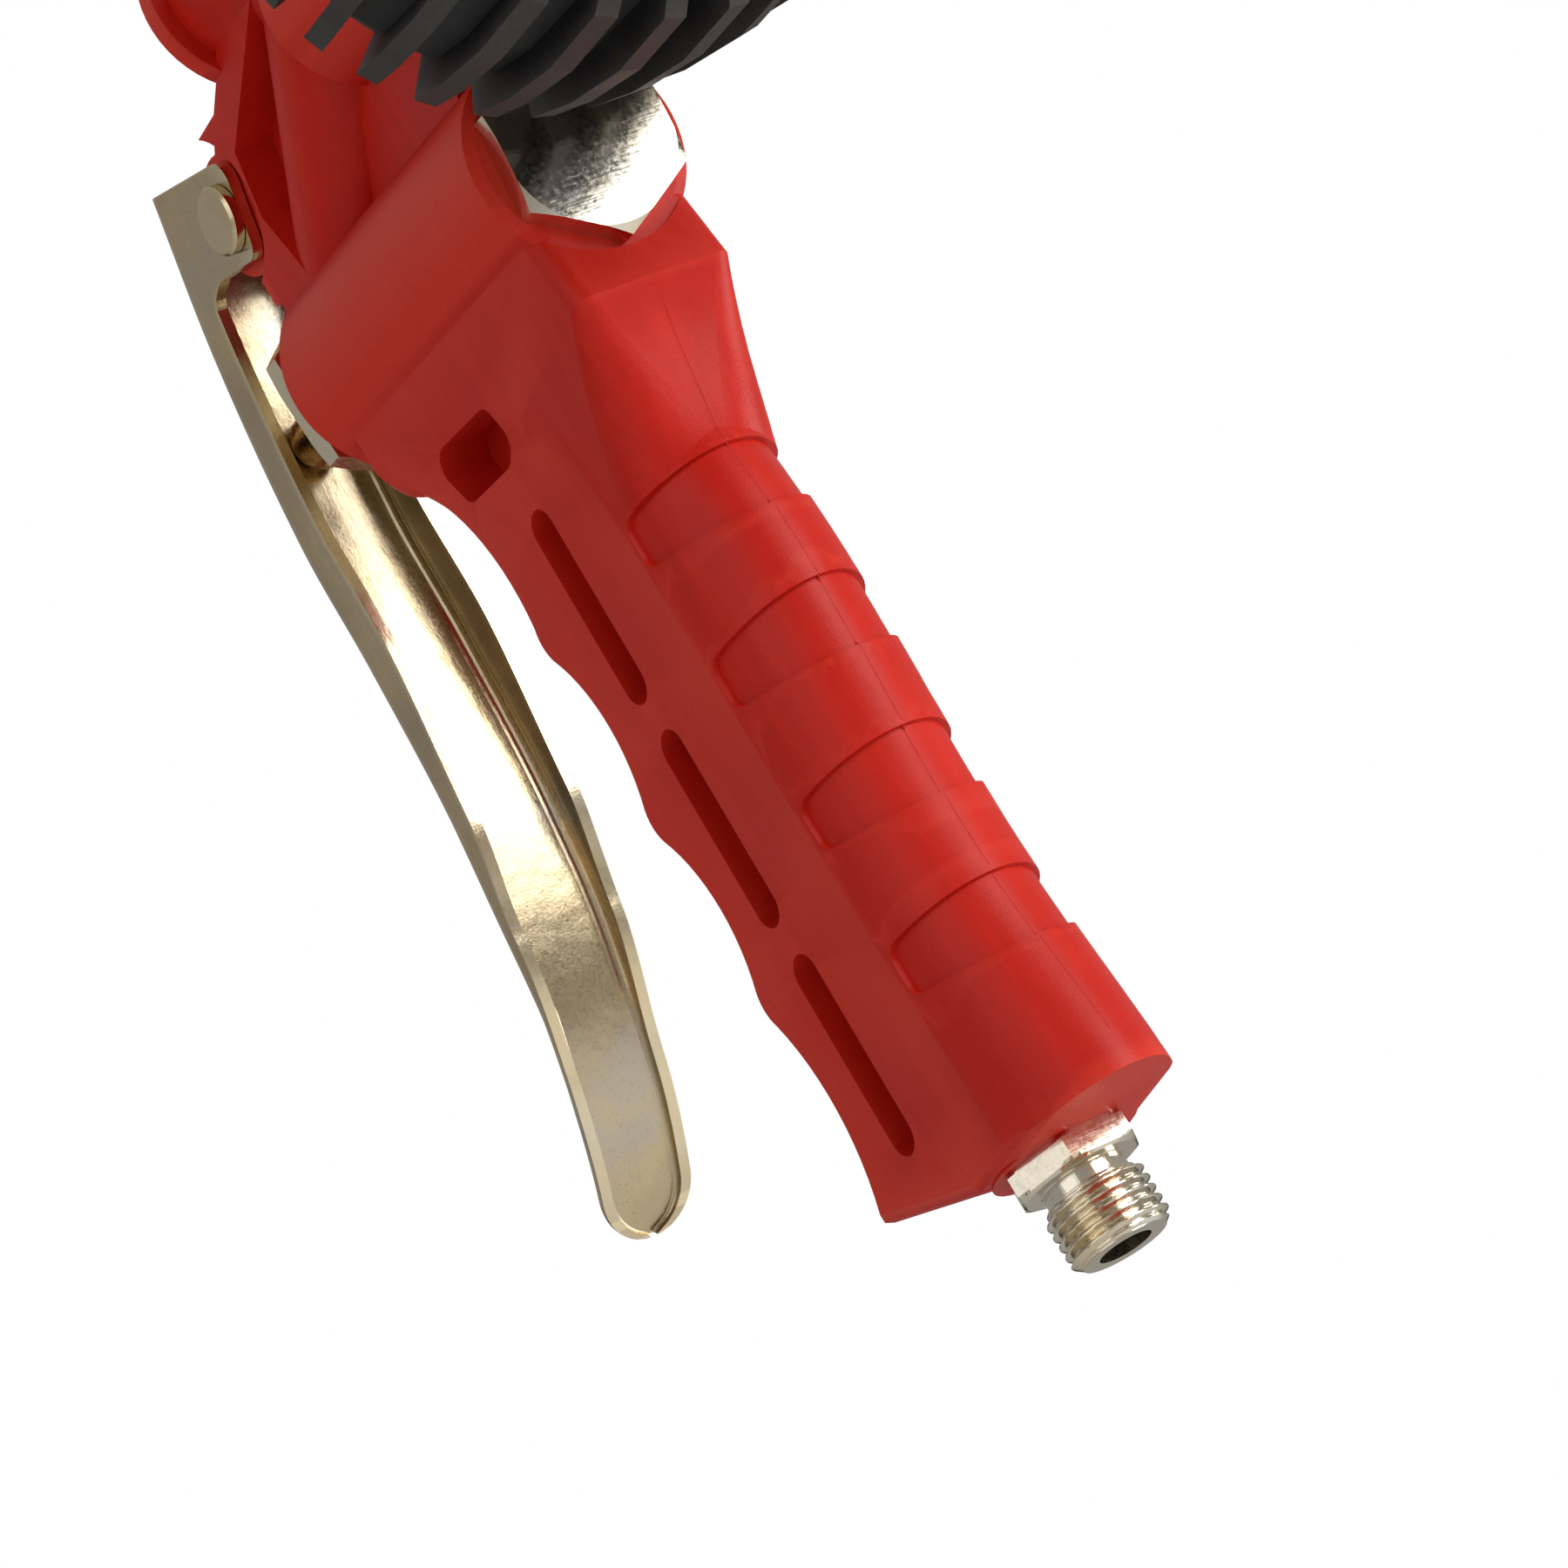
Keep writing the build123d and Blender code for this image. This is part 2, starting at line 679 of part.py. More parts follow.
# ---- lever: pressed U-channel hung on a headed pin ----
lever_front = [
    (pivot_x - 15.6, pivot_z + 13.4),
    (pivot_x - 23.6, pivot_z - 8.0),
    (pivot_x - 29.2, pivot_z - 33.0),
    (pivot_x - 30.2, pivot_z - 52.0),
    (pivot_x - 33.0, pivot_z - 76.0),
    (pivot_x - 41.6, pivot_z - 104.0),
    (pivot_x - 56.6, pivot_z - 124.6),
]
lever_rear = [
    (pivot_x - 55.2, pivot_z - 126.0),
    (pivot_x - 39.8, pivot_z - 105.6),
    (pivot_x - 31.8, pivot_z - 89.4),
    (pivot_x - 26.4, pivot_z - 76.0),
    (pivot_x - 20.9, pivot_z - 50.0),
    (pivot_x - 19.8, pivot_z - 24.0),
    (pivot_x - 13.8, pivot_z - 2.6),
]
ear_across = Vector(0.916, -0.401)
ear_down = Vector(-0.401, -0.916)
ear_top = Vector(lever_front[0][0], lever_front[0][1])
ear_back = ear_top + ear_across * 23.8
ear_foot = ear_back + ear_down * 13.4
web_shift = ear_across * 1.06 * sheet


def lever_profile(shift):
    """Lever seen from the side, moved along the ear's top edge by shift."""
    with BuildSketch(Plane.XZ) as profile:
        with BuildLine():
            Spline(
                [(x + shift.X, z + shift.Y) for x, z in lever_front],
                tangents=[(-0.36, -0.93), (-0.75, -0.66)],
            )
            Line(
                (lever_front[-1][0] + shift.X, lever_front[-1][1] + shift.Y),
                (lever_rear[0][0] + shift.X, lever_rear[0][1] + shift.Y),
            )
            Spline([(x + shift.X, z + shift.Y) for x, z in lever_rear])
            Polyline(
                (lever_rear[-1][0] + shift.X, lever_rear[-1][1] + shift.Y),
                (ear_foot.X + shift.X, ear_foot.Y + shift.Y),
                (ear_back.X + shift.X, ear_back.Y + shift.Y),
                (ear_top.X + shift.X, ear_top.Y + shift.Y),
            )
        make_face()
        corners = profile.vertices().filter_by(
            lambda v: v.X > ear_foot.X + shift.X - 1 and v.Y > ear_foot.Y + shift.Y - 1
        )
        fillet(corners, 2.2)
    return profile.sketch


with BuildPart() as lever:
    extrude(lever_profile(Vector(0, 0)), amount=lever_half, both=True)
    extrude(
        lever_profile(web_shift), amount=lever_half - sheet, both=True, mode=Mode.SUBTRACT
    )
    # rounded tongue at the tip, seen from the front
    with BuildSketch(Plane.YZ.offset(-120)) as front_view:
        with BuildLine():
            tip_z = pivot_z - 125.6
            Polyline(
                (-6.6, tip_z),
                (-7.0, tip_z + 14),
                (-lever_half - 0.5, tip_z + 34),
                (-lever_half - 0.5, pivot_z + 20),
                (lever_half + 0.5, pivot_z + 20),
                (lever_half + 0.5, tip_z + 34),
                (7.0, tip_z + 14),
                (6.6, tip_z),
                close=True,
            )
        make_face()
        fillet(front_view.vertices().group_by(Axis.Y)[0], 5.0)
    extrude(amount=110, mode=Mode.INTERSECT)
    with BuildSketch(Plane.XZ):
        with Locations((pivot_x, pivot_z)):
            Circle(pin_radius + running_gap)
    extrude(amount=lever_half + 1, both=True, mode=Mode.SUBTRACT)
lever.part.label = "lever"
export_step(lever.part, "parts/lever.step")

pin_far = lever_half + 2.4
clip_inner = pin_radius - 0.65
clip_y = lever_half + 0.5
clip_thick = 0.8


def pin_plane(y):
    """Plane square to the pivot pin at a given y, extruding toward +Y."""
    return Plane(origin=(pivot_x, y, pivot_z), x_dir=(1, 0, 0), z_dir=(0, 1, 0))


with BuildPart() as pivot_pin:
    tube(pin_plane(-lever_half - 0.1 - pin_head), pin_head_radius, 0, pin_head)
    chamfer(pivot_pin.edges().group_by(Axis.Y)[0], 0.4)
    tube(pin_plane(-lever_half - 0.1), pin_radius, 0, pin_far + lever_half + 0.1)
    tube(pin_plane(clip_y), pin_radius + 1, clip_inner, clip_thick + 0.1, Mode.SUBTRACT)
pivot_pin.part.label = "pivot_pin"
export_step(pivot_pin.part, "parts/pivot_pin.step")

with BuildPart() as pin_clip:
    tube(pin_plane(clip_y + 0.05), pin_radius + 2.0, clip_inner + 0.03, clip_thick)
    with BuildSketch(pin_plane(clip_y)):
        with Locations((-pin_radius - 1, 0)):
            Rectangle(2 * pin_radius, 2 * clip_inner - 0.8)
    extrude(amount=2 * clip_thick, mode=Mode.SUBTRACT)
pin_clip.part.label = "pin_clip"
export_step(pin_clip.part, "parts/pin_clip.step")

# ---- gauge: rubber boot, case, window and bezel ----
def dial_plane(depth):
    """Plane square to the gauge axis, depth rearward of the boot's back face."""
    return across(boot_back + depth, gauge_up)


dial_axis = Axis(at(boot_back, gauge_up), rearward)
lip_radius = case_radius - 3.0
window_depth = case_length + gasket_thick + 2 * seat_gap
window_radius = case_radius - 0.7
bezel_depth = window_depth + window_thick + seat_gap
boot_seat = bezel_depth + bezel_lip + 0.15
boot_end = boot_seat + boot_lip
boot_waist = case_radius + boot_wall
fin_crown = boot_waist + 2.0 + fin_height
boot_profile = (
    (0, hub_radius - hub_gap),
    (0, case_radius - 2.5),
    (7.0, boot_waist - 1.0),
    (18.0, boot_waist + 1.2),
    (boot_end - 3.0, boot_waist + 2.0),
    (boot_end, boot_waist),
    (boot_end, lip_radius),
    (boot_seat, lip_radius),
    (boot_seat, case_radius + 0.15),
    (9.2, case_radius + 0.15),
    (2.6, case_radius - 5.8),
    (2.6, hub_radius - hub_gap),
)
with BuildPart() as boot_fin:
    with BuildSketch(side(boot_back, gauge_up)):
        with BuildLine():
            Polyline(
                (0, case_radius - 3.5),
                (0, case_radius + 3.5),
                (10.0, fin_crown - 2.2),
                (23.0, fin_crown),
                (boot_end - 4.5, fin_crown),
                (boot_end - 1.2, fin_crown - 3.0),
                (boot_end - 1.2, case_radius + 1.0),
                (10.0, case_radius + 1.0),
                close=True,
            )
        make_face()
    extrude(amount=fin_width / 2, both=True)

with BuildPart() as gauge_boot:
    turned(dial_plane(0), boot_profile)
    add([boot_fin.part.rotate(dial_axis, 360 * k / fin_count) for k in range(fin_count)])
gauge_boot.part.label = "gauge_boot"
export_step(gauge_boot.part, "parts/gauge_boot.step")

neck_radius = socket_radius + 2.4
case_profile = (
    (3.0, neck_radius + 0.1),
    (3.0, case_radius - 6.0),
    (9.2, case_radius),
    (case_length, case_radius),
    (case_length, case_radius - case_wall),
    (9.8, case_radius - case_wall),
    (4.4, case_radius - 6.4),
    (4.4, neck_radius + 0.1),
)
with BuildPart() as gauge_case:
    turned(dial_plane(0), case_profile)
gauge_case.part.label = "gauge_case"
export_step(gauge_case.part, "parts/gauge_case.step")

with BuildPart() as window_gasket:
    tube(dial_plane(case_length + seat_gap), window_radius, lip_radius, gasket_thick)
window_gasket.part.label = "window_gasket"
export_step(window_gasket.part, "parts/window_gasket.step")

with BuildPart() as dial_window:
    tube(dial_plane(window_depth), window_radius, 0, window_thick)
    chamfer(dial_window.edges().sort_by(dial_axis)[-1], 0.3)
dial_window.part.label = "dial_window"
export_step(dial_window.part, "parts/dial_window.step")

with BuildPart() as bezel_ring:
    tube(
        dial_plane(case_length + seat_gap), case_radius, window_radius + seat_gap,
        bezel_depth - case_length - seat_gap,
    )
    tube(dial_plane(bezel_depth), case_radius, lip_radius - 1.2, bezel_lip)
bezel_ring.part.label = "bezel_ring"
export_step(bezel_ring.part, "parts/bezel_ring.step")

# ---- gauge socket with its bonded washer, Bourdon tube and closed tip ----
block_depth = 4.45
block_reach = case_radius - 7.4
plate_seat = 14.0
tube_radius = case_radius - 9.0
with BuildPart() as gauge_socket:
    tube(across(hub_rear - 15.5, gauge_up), socket_radius, 0, 15.6)
    tube(across(hub_rear + seat_gap, gauge_up), hub_radius - 1.2, 0, boot_back - hub_rear + 2.9)
    tube(dial_plane(2.9), neck_radius, 0, block_depth - 2.9)
    with BuildSketch(dial_plane(block_depth)):
        with Locations((0, (6.0 - block_reach) / 2)):
            RectangleRounded(14.0, 6.0 + block_reach, 2.0)
    extrude(amount=plate_seat - block_depth)
    tube(across(hub_rear - 16.0, gauge_up), 1.8, 0, 26.0, Mode.SUBTRACT)
gauge_socket.part.label = "gauge_socket"
export_step(gauge_socket.part, "parts/gauge_socket.step")

with BuildPart() as gauge_seal:
    tube(across(hub_rear - 1.45, gauge_up), socket_radius + 3.5, socket_radius + 0.05, 1.4)
gauge_seal.part.label = "gauge_seal"
export_step(gauge_seal.part, "parts/gauge_seal.step")


def dial_radial(angle):
    """Unit vector in the dial's plane, counted from the user's right, anticlockwise."""
    return Vector(0, 1, 0) * cos(radians(angle)) + upward * sin(radians(angle))


tube_start = -71.0
tube_sweep = 245.0
section_plane = Plane(
    origin=at(boot_back + 9.3, gauge_up),
    x_dir=rearward,
    z_dir=rearward.cross(dial_radial(tube_start)),
)
with BuildPart() as bourdon_tube:
    with BuildSketch(section_plane):
        with Locations((0, tube_radius)):
            Ellipse(3.2, 1.3)
            Ellipse(2.85, 0.95, mode=Mode.SUBTRACT)
    revolve(axis=dial_axis, revolution_arc=tube_sweep)
bourdon_tube.part.label = "bourdon_tube"
export_step(bourdon_tube.part, "parts/bourdon_tube.step")

tip_angle = tube_start + tube_sweep
post_angle = radians(tip_angle + 7)
post_spot = (tube_radius * cos(post_angle), tube_radius * sin(post_angle))
tip_corners = (
    (tube_radius - 1.8, 0.1), (tube_radius + 1.8, 0.1),
    (tube_radius + 1.8, 12.0), (tube_radius - 1.8, 14.0),
)
# ---- movement: plates, pillars, sector gear, pinion, link and hairspring ----
pinion_radius = gear_module * pinion_teeth / 2
sector_radius = gear_module * sector_teeth / 2
centre_distance = pinion_radius + sector_radius
mesh_angle = 60.0
sector_x = -centre_distance * cos(radians(mesh_angle))
sector_y = -centre_distance * sin(radians(mesh_angle))
pillar_reach = 5.6
pillar_spots = [
    (pillar_reach * cos(radians(mesh_angle)), pillar_reach * sin(radians(mesh_angle))),
    (
        sector_x - pillar_reach * cos(radians(mesh_angle)),
        sector_y - pillar_reach * sin(radians(mesh_angle)),
    ),
]
plate_thick = 1.0
plate_top = 20.0
arbor_radius = 0.8
tooth_pitch = 360.0 / sector_teeth


def movement_plate(plane):
    """Slot-shaped brass plate with two arbor holes and two pillar holes."""
    middle = (
        (pillar_spots[0][0] + pillar_spots[1][0]) / 2,
        (pillar_spots[0][1] + pillar_spots[1][1]) / 2,
    )
    with BuildSketch(plane) as outline:
        with Locations(middle):
            SlotCenterToCenter(centre_distance + 2 * pillar_reach, 8.0, rotation=mesh_angle)
        with Locations((0, 0), (sector_x, sector_y)):
            Circle(arbor_radius + running_gap, mode=Mode.SUBTRACT)
        with Locations(*pillar_spots):
            Circle(1.05, mode=Mode.SUBTRACT)
    return extrude(outline.sketch, amount=plate_thick)


with BuildPart() as movement_base:
    movement_plate(dial_plane(plate_seat + seat_gap))
movement_base.part.label = "movement_base"
export_step(movement_base.part, "parts/movement_base.step")

with BuildPart() as movement_bridge:
    movement_plate(dial_plane(plate_top))
movement_bridge.part.label = "movement_bridge"
export_step(movement_bridge.part, "parts/movement_bridge.step")

dial_depth = 23.5
pillar_base = plate_seat + plate_thick + 2 * seat_gap
boss_length = dial_depth - plate_top - plate_thick - 2 * seat_gap
with BuildPart() as movement_pillars:
    for spot in pillar_spots:
        for depth, radius, length in (
            (plate_seat + 2 * seat_gap, 1.0, plate_thick),
            (pillar_base, 1.5, plate_top - pillar_base - seat_gap),
            (plate_top - seat_gap, 1.0, plate_thick + 2 * seat_gap),
            (plate_top + plate_thick + seat_gap, 1.5, boss_length),
        ):
            with BuildSketch(dial_plane(depth)):
                with Locations(spot):
                    Circle(radius)
            extrude(amount=length)
movement_pillars.part.label = "movement_pillars"
export_step(movement_pillars.part, "parts/movement_pillars.step")


def tooth(radius, angle, centre):
    """Outline of one short tooth standing on a pitch radius."""
    half_tip = 0.28 * gear_module
    half_root = 0.88 * gear_module
    root = radius - 1.15 * gear_module
    tip = radius + 0.72 * gear_module
    corners = ((root, -half_root), (root, half_root), (tip, half_tip), (tip, -half_tip))
    turn = radians(angle)
    return [
        (centre[0] + r * cos(turn) - w * sin(turn), centre[1] + r * sin(turn) + w * cos(turn))
        for r, w in corners
    ]


sector_spot = (sector_x, sector_y)
sector_depth = 16.6
sector_thick = 1.4
tail_angle = mesh_angle + 98.0
tail_length = 7.0
tail_spot = (
    sector_x + tail_length * cos(radians(tail_angle)),
    sector_y + tail_length * sin(radians(tail_angle)),
)
sector_root = sector_radius - 1.05 * gear_module
with BuildPart() as sector_gear:
    with BuildSketch(dial_plane(sector_depth)) as sector_shape:
        with BuildLine():
            rim = [
                (
                    sector_x + sector_root * cos(radians(a)),
                    sector_y + sector_root * sin(radians(a)),
                )
                for a in (mesh_angle + 7.5, mesh_angle - 22.5, mesh_angle - 52.5)
            ]
            ThreePointArc(*rim)
            Polyline(rim[2], sector_spot, rim[0])
        make_face()
        with Locations(sector_spot):
            Circle(2.6)
        for k in range(-1, 11):
            with BuildLine(mode=Mode.ADD):
                Polyline(*tooth(sector_radius, mesh_angle - tooth_pitch * k, sector_spot), close=True)
            make_face()
        with Locations(((sector_x + tail_spot[0]) / 2, (sector_y + tail_spot[1]) / 2)):
            SlotCenterToCenter(tail_length, 2.6, rotation=tail_angle)
    extrude(amount=sector_thick)
    with BuildSketch(dial_plane(plate_seat + 0.1)):
        with Locations(sector_spot):
            Circle(arbor_radius)
    extrude(amount=plate_top + plate_thick - plate_seat - 0.2)
    with BuildSketch(dial_plane(sector_depth + sector_thick)):
        with Locations(tail_spot):
            Circle(0.6)
    extrude(amount=1.5)
sector_gear.part.label = "sector_gear"
export_step(sector_gear.part, "parts/sector_gear.step")

pinion_depth = 15.6
pinion_length = 3.4
with BuildPart() as pinion_arbor:
    with BuildSketch(dial_plane(pinion_depth)):
        Circle(pinion_radius - 1.0 * gear_module)
        for k in range(pinion_teeth):
            angle = 180.0 + mesh_angle + (k + 0.5) * 360.0 / pinion_teeth
            with BuildLine(mode=Mode.ADD):
                Polyline(*tooth(pinion_radius, angle, (0, 0)), close=True)
            make_face()
    extrude(amount=pinion_length)
    tube(dial_plane(plate_seat + 0.1), arbor_radius, 0, 12.2)
pinion_arbor.part.label = "pinion_arbor"
export_step(pinion_arbor.part, "parts/pinion_arbor.step")

link_depth = sector_depth + sector_thick + 0.3
link_thick = 0.8
with BuildPart() as bourdon_tip:
    with BuildSketch(dial_plane(5.9)):
        with BuildLine():
            Polyline(
                *[
                    (r * cos(radians(tip_angle + a)), r * sin(radians(tip_angle + a)))
                    for r, a in tip_corners
                ],
                close=True,
            )
        make_face()
    extrude(amount=6.8)
    with BuildSketch(dial_plane(12.7)):
        with Locations(post_spot):
            Circle(0.8)
    extrude(amount=link_depth + link_thick + 0.2 - 12.7)
bourdon_tip.part.label = "bourdon_tip"
export_step(bourdon_tip.part, "parts/bourdon_tip.step")

with BuildPart() as tip_link:
    with BuildSketch(dial_plane(link_depth)):
        with BuildLine():
            Line(tail_spot, post_spot)
        trace(line_width=1.6)
        with Locations(tail_spot):
            Circle(1.3)
        with Locations(post_spot):
            Circle(1.9)
        with Locations(tail_spot):
            Circle(0.6 + running_gap, mode=Mode.SUBTRACT)
        with Locations(post_spot):
            Circle(0.8 + seat_gap, mode=Mode.SUBTRACT)
    extrude(amount=link_thick)
tip_link.part.label = "tip_link"
export_step(tip_link.part, "parts/tip_link.step")

spiral_turns = 3.6
spiral_inner = arbor_radius + seat_gap
spiral_step = 0.8
spiral_wall = 0.25
spiral_points = [
    (spiral_inner + spiral_step * spiral_turns * k / 42, 2 * pi * spiral_turns * k / 42)
    for k in range(43)
]
with BuildPart() as hairspring:
    with BuildSketch(dial_plane(19.2)):
        with BuildLine():
            inner = Spline([(r * cos(a), r * sin(a)) for r, a in spiral_points])
            outer = Spline(
                [((r + spiral_wall) * cos(a), (r + spiral_wall) * sin(a)) for r, a in spiral_points]
            )
            Line(inner @ 0, outer @ 0)
            Line(inner @ 1, outer @ 1)
        make_face()
    extrude(amount=0.6)
hairspring.part.label = "hairspring"
export_step(hairspring.part, "parts/hairspring.step")

# ---- dial, its screws and stop, and the pointer ----
dial_radius = case_radius - case_wall - 0.3
dial_thick = 0.6
with BuildPart() as dial:
    with BuildSketch(dial_plane(dial_depth)):
        Circle(dial_radius)
        Circle(1.8, mode=Mode.SUBTRACT)
        with Locations(*pillar_spots):
            Circle(0.85, mode=Mode.SUBTRACT)
    extrude(amount=dial_thick)
dial.part.label = "dial"
export_step(dial.part, "parts/dial.step")

with BuildPart() as dial_screws:
    for spot in pillar_spots:
        with BuildSketch(dial_plane(dial_depth + seat_gap)):
            with Locations(spot):
                Circle(0.8)
        extrude(amount=dial_thick)
        with BuildSketch(dial_plane(dial_depth + dial_thick + seat_gap)):
            with Locations(spot):
                Circle(1.5)
        extrude(amount=0.7)
        with BuildSketch(dial_plane(dial_depth + dial_thick + 0.45)):
            with Locations(spot):
                Rectangle(3.4, 0.4, rotation=35)
        extrude(amount=0.6, mode=Mode.SUBTRACT)
dial_screws.part.label = "dial_screws"
export_step(dial_screws.part, "parts/dial_screws.step")

zero_angle = 180.0 + (360.0 - pointer_sweep) / 2
pointer_reach = dial_radius - 6.5
stop_angle = zero_angle + 10.0
with BuildPart() as stop_pin:
    with BuildSketch(dial_plane(dial_depth + dial_thick)):
        with Locations((14.0 * cos(radians(stop_angle)), 14.0 * sin(radians(stop_angle)))):
            Circle(0.5)
    extrude(amount=2.2)
stop_pin.part.label = "stop_pin"
export_step(stop_pin.part, "parts/stop_pin.step")

pointer_depth = 25.4
with BuildPart() as pointer:
    with BuildSketch(dial_plane(pointer_depth)) as needle:
        with BuildLine(mode=Mode.PRIVATE) as needle_line:
            Polyline(
                *[
                    (
                        r * cos(radians(zero_angle)) - w * sin(radians(zero_angle)),
                        r * sin(radians(zero_angle)) + w * cos(radians(zero_angle)),
                    )
                    for r, w in (
                        (pointer_reach, 0.2), (0, 1.1), (-6.5, 1.9), (-6.5, -1.9), (0, -1.1),
                        (pointer_reach, -0.2),
                    )
                ],
                close=True,
            )
        make_face(needle_line.line)
    extrude(amount=0.5)
    tube(dial_plane(pointer_depth), 3.0, 0, 1.6)
    chamfer(pointer.edges().sort_by(dial_axis)[-1], 0.5)
    tube(dial_plane(pointer_depth - 0.1), arbor_radius, 0, 1.0, Mode.SUBTRACT)
pointer.part.label = "pointer"
export_step(pointer.part, "parts/pointer.step")
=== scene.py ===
import math
import bmesh
import bpy
from mathutils import Matrix, Vector
from mathutils.bvhtree import BVHTree


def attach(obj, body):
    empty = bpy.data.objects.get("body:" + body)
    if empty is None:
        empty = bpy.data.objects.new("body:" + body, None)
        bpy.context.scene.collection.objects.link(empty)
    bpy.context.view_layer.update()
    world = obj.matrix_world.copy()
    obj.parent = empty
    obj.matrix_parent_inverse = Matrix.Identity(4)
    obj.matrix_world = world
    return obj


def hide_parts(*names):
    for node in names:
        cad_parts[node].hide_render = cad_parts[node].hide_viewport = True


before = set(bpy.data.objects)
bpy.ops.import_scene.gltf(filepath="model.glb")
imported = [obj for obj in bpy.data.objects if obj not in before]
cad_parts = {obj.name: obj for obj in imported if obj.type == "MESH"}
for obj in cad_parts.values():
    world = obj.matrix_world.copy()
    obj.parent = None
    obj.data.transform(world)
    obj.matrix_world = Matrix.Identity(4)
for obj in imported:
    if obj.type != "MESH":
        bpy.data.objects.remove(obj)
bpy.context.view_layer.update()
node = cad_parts

# ---- handle body ----
# One injection moulding in red glass-filled nylon: grip, valve barrel, outlet and gauge bosses.
# The mould leaves a fine grain and faint flow streaks; its convex edges are painted a paler red as a
# highlight.


def fresh_material(name):
    """An empty node material: returns it with its node tree, shader and object coordinates."""
    material = bpy.data.materials.new(name)
    material.use_nodes = True
    tree = material.node_tree
    shader = tree.nodes["Principled BSDF"]
    place = tree.nodes.new("ShaderNodeTexCoord").outputs["Object"]
    return material, tree, shader, place


def noise(tree, place, scale, detail=4.0, rough=0.5, stretch=(1, 1, 1)):
    """Noise over the object's own coordinates; scale counts features in a metre."""
    mapping = tree.nodes.new("ShaderNodeMapping")
    mapping.inputs["Scale"].default_value = stretch
    tree.links.new(place, mapping.inputs["Vector"])
    texture = tree.nodes.new("ShaderNodeTexNoise")
    texture.inputs["Scale"].default_value = scale
    texture.inputs["Detail"].default_value = detail
    texture.inputs["Roughness"].default_value = rough
    tree.links.new(mapping.outputs["Vector"], texture.inputs["Vector"])
    return texture.outputs["Fac"]


def ramp(tree, value, stops):
    """Colour ramp: stops are (position, colour)."""
    block = tree.nodes.new("ShaderNodeValToRGB")
    band = block.color_ramp
    while len(band.elements) < len(stops):
        band.elements.new(0.5)
    for element, (position, colour) in zip(band.elements, stops):
        element.position = position
        element.color = (*colour, 1)
    tree.links.new(value, block.inputs["Fac"])
    return block.outputs["Color"]


def spread(tree, value, low, high, start=0.3, end=0.7):
    """Map a value's middle band to a range."""
    block = tree.nodes.new("ShaderNodeMapRange")
    block.inputs["From Min"].default_value = start
    block.inputs["From Max"].default_value = end
    block.inputs["To Min"].default_value = low
    block.inputs["To Max"].default_value = high
    tree.links.new(value, block.inputs["Value"])
    return block.outputs["Result"]


def bump(tree, shader, layers):
    """Stack bump layers: (height, depth in metres)."""
    normal = None
    for height, depth in layers:
        block = tree.nodes.new("ShaderNodeBump")
        block.inputs["Distance"].default_value = depth
        tree.links.new(height, block.inputs["Height"])
        if normal is not None:
            tree.links.new(normal, block.inputs["Normal"])
        normal = block.outputs["Normal"]
    tree.links.new(normal, shader.inputs["Normal"])


def blend_colour(tree, share, first, second, mode="MIX"):
    """Mix two colour outputs by a varying share."""
    block = tree.nodes.new("ShaderNodeMix")
    block.data_type = "RGBA"
    block.blend_type = mode
    tree.links.new(share, block.inputs["Factor"])
    tree.links.new(first, block.inputs["A"])
    tree.links.new(second, block.inputs["B"])
    return block.outputs["Result"]


def edge_wear(tree, start=0.52, end=0.6):
    """0 on faces, rising to 1 along convex edges: the mask that lays painted highlights along edges."""
    geometry = tree.nodes.new("ShaderNodeNewGeometry")
    return spread(tree, geometry.outputs["Pointiness"], 0.0, 1.0, start, end)


def dress(names, material):
    """Give CAD nodes a finish in place of their plain one."""
    for name in names:
        slots = node[name].data.materials
        slots.clear()
        slots.append(material)


nylon, tree, shader, place = fresh_material("red_glass_filled_nylon")
clouds = noise(tree, place, 45, 5)
streaks = noise(tree, place, 260, 6, 0.6, (1, 1, 0.12))
grain = noise(tree, place, 3800, 3)
deep = ramp(tree, clouds, [(0.3, (0.50, 0.010, 0.004)), (0.7, (0.60, 0.015, 0.006))])
bright = ramp(tree, streaks, [(0.35, (0.55, 0.013, 0.005)), (0.75, (0.68, 0.022, 0.009))])
body_red = blend_colour(tree, spread(tree, streaks, 0.1, 0.7), deep, bright)
# Painted highlight: convex edges turn a paler red, standing in for light caught along them.
edge_highlight_red = ramp(tree, grain, [(0.3, (0.66, 0.030, 0.014)), (0.7, (0.74, 0.045, 0.022))])
body_red = blend_colour(tree, edge_wear(tree), body_red, edge_highlight_red)
tree.links.new(body_red, shader.inputs["Base Color"])
tree.links.new(spread(tree, clouds, 0.36, 0.50), shader.inputs["Roughness"])
shader.inputs["Specular IOR Level"].default_value = 0.22
bump(tree, shader, [(clouds, 0.00025), (streaks, 0.00006), (grain, 0.00003)])
dress(["handle_body"], nylon)

# ---- mould line down the back of the grip ----
# Where the two halves of the mould met, a hair-thin fin of nylon was trimmed off by hand.
# What is left is a low broken ridge on the mid-plane, from the shoulder to the heel.
LINE_TOP = 0.118
LINE_FOOT = 0.018
LINE_STEP = 0.0008
LINE_HALF = 0.00016
LINE_PROUD = 0.00010


def mesh_object(name, shape, material, body, smooth=True):
    """Turn a bmesh into an object that rides on a body."""
    mesh = bpy.data.meshes.new(name)
    bmesh.ops.recalc_face_normals(shape, faces=shape.faces[:])
    shape.to_mesh(mesh)
    shape.free()
    mesh.materials.append(material)
    for face in mesh.polygons:
        face.use_smooth = smooth
    obj = bpy.data.objects.new(name, mesh)
    bpy.context.scene.collection.objects.link(obj)
    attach(obj, body)
    return obj


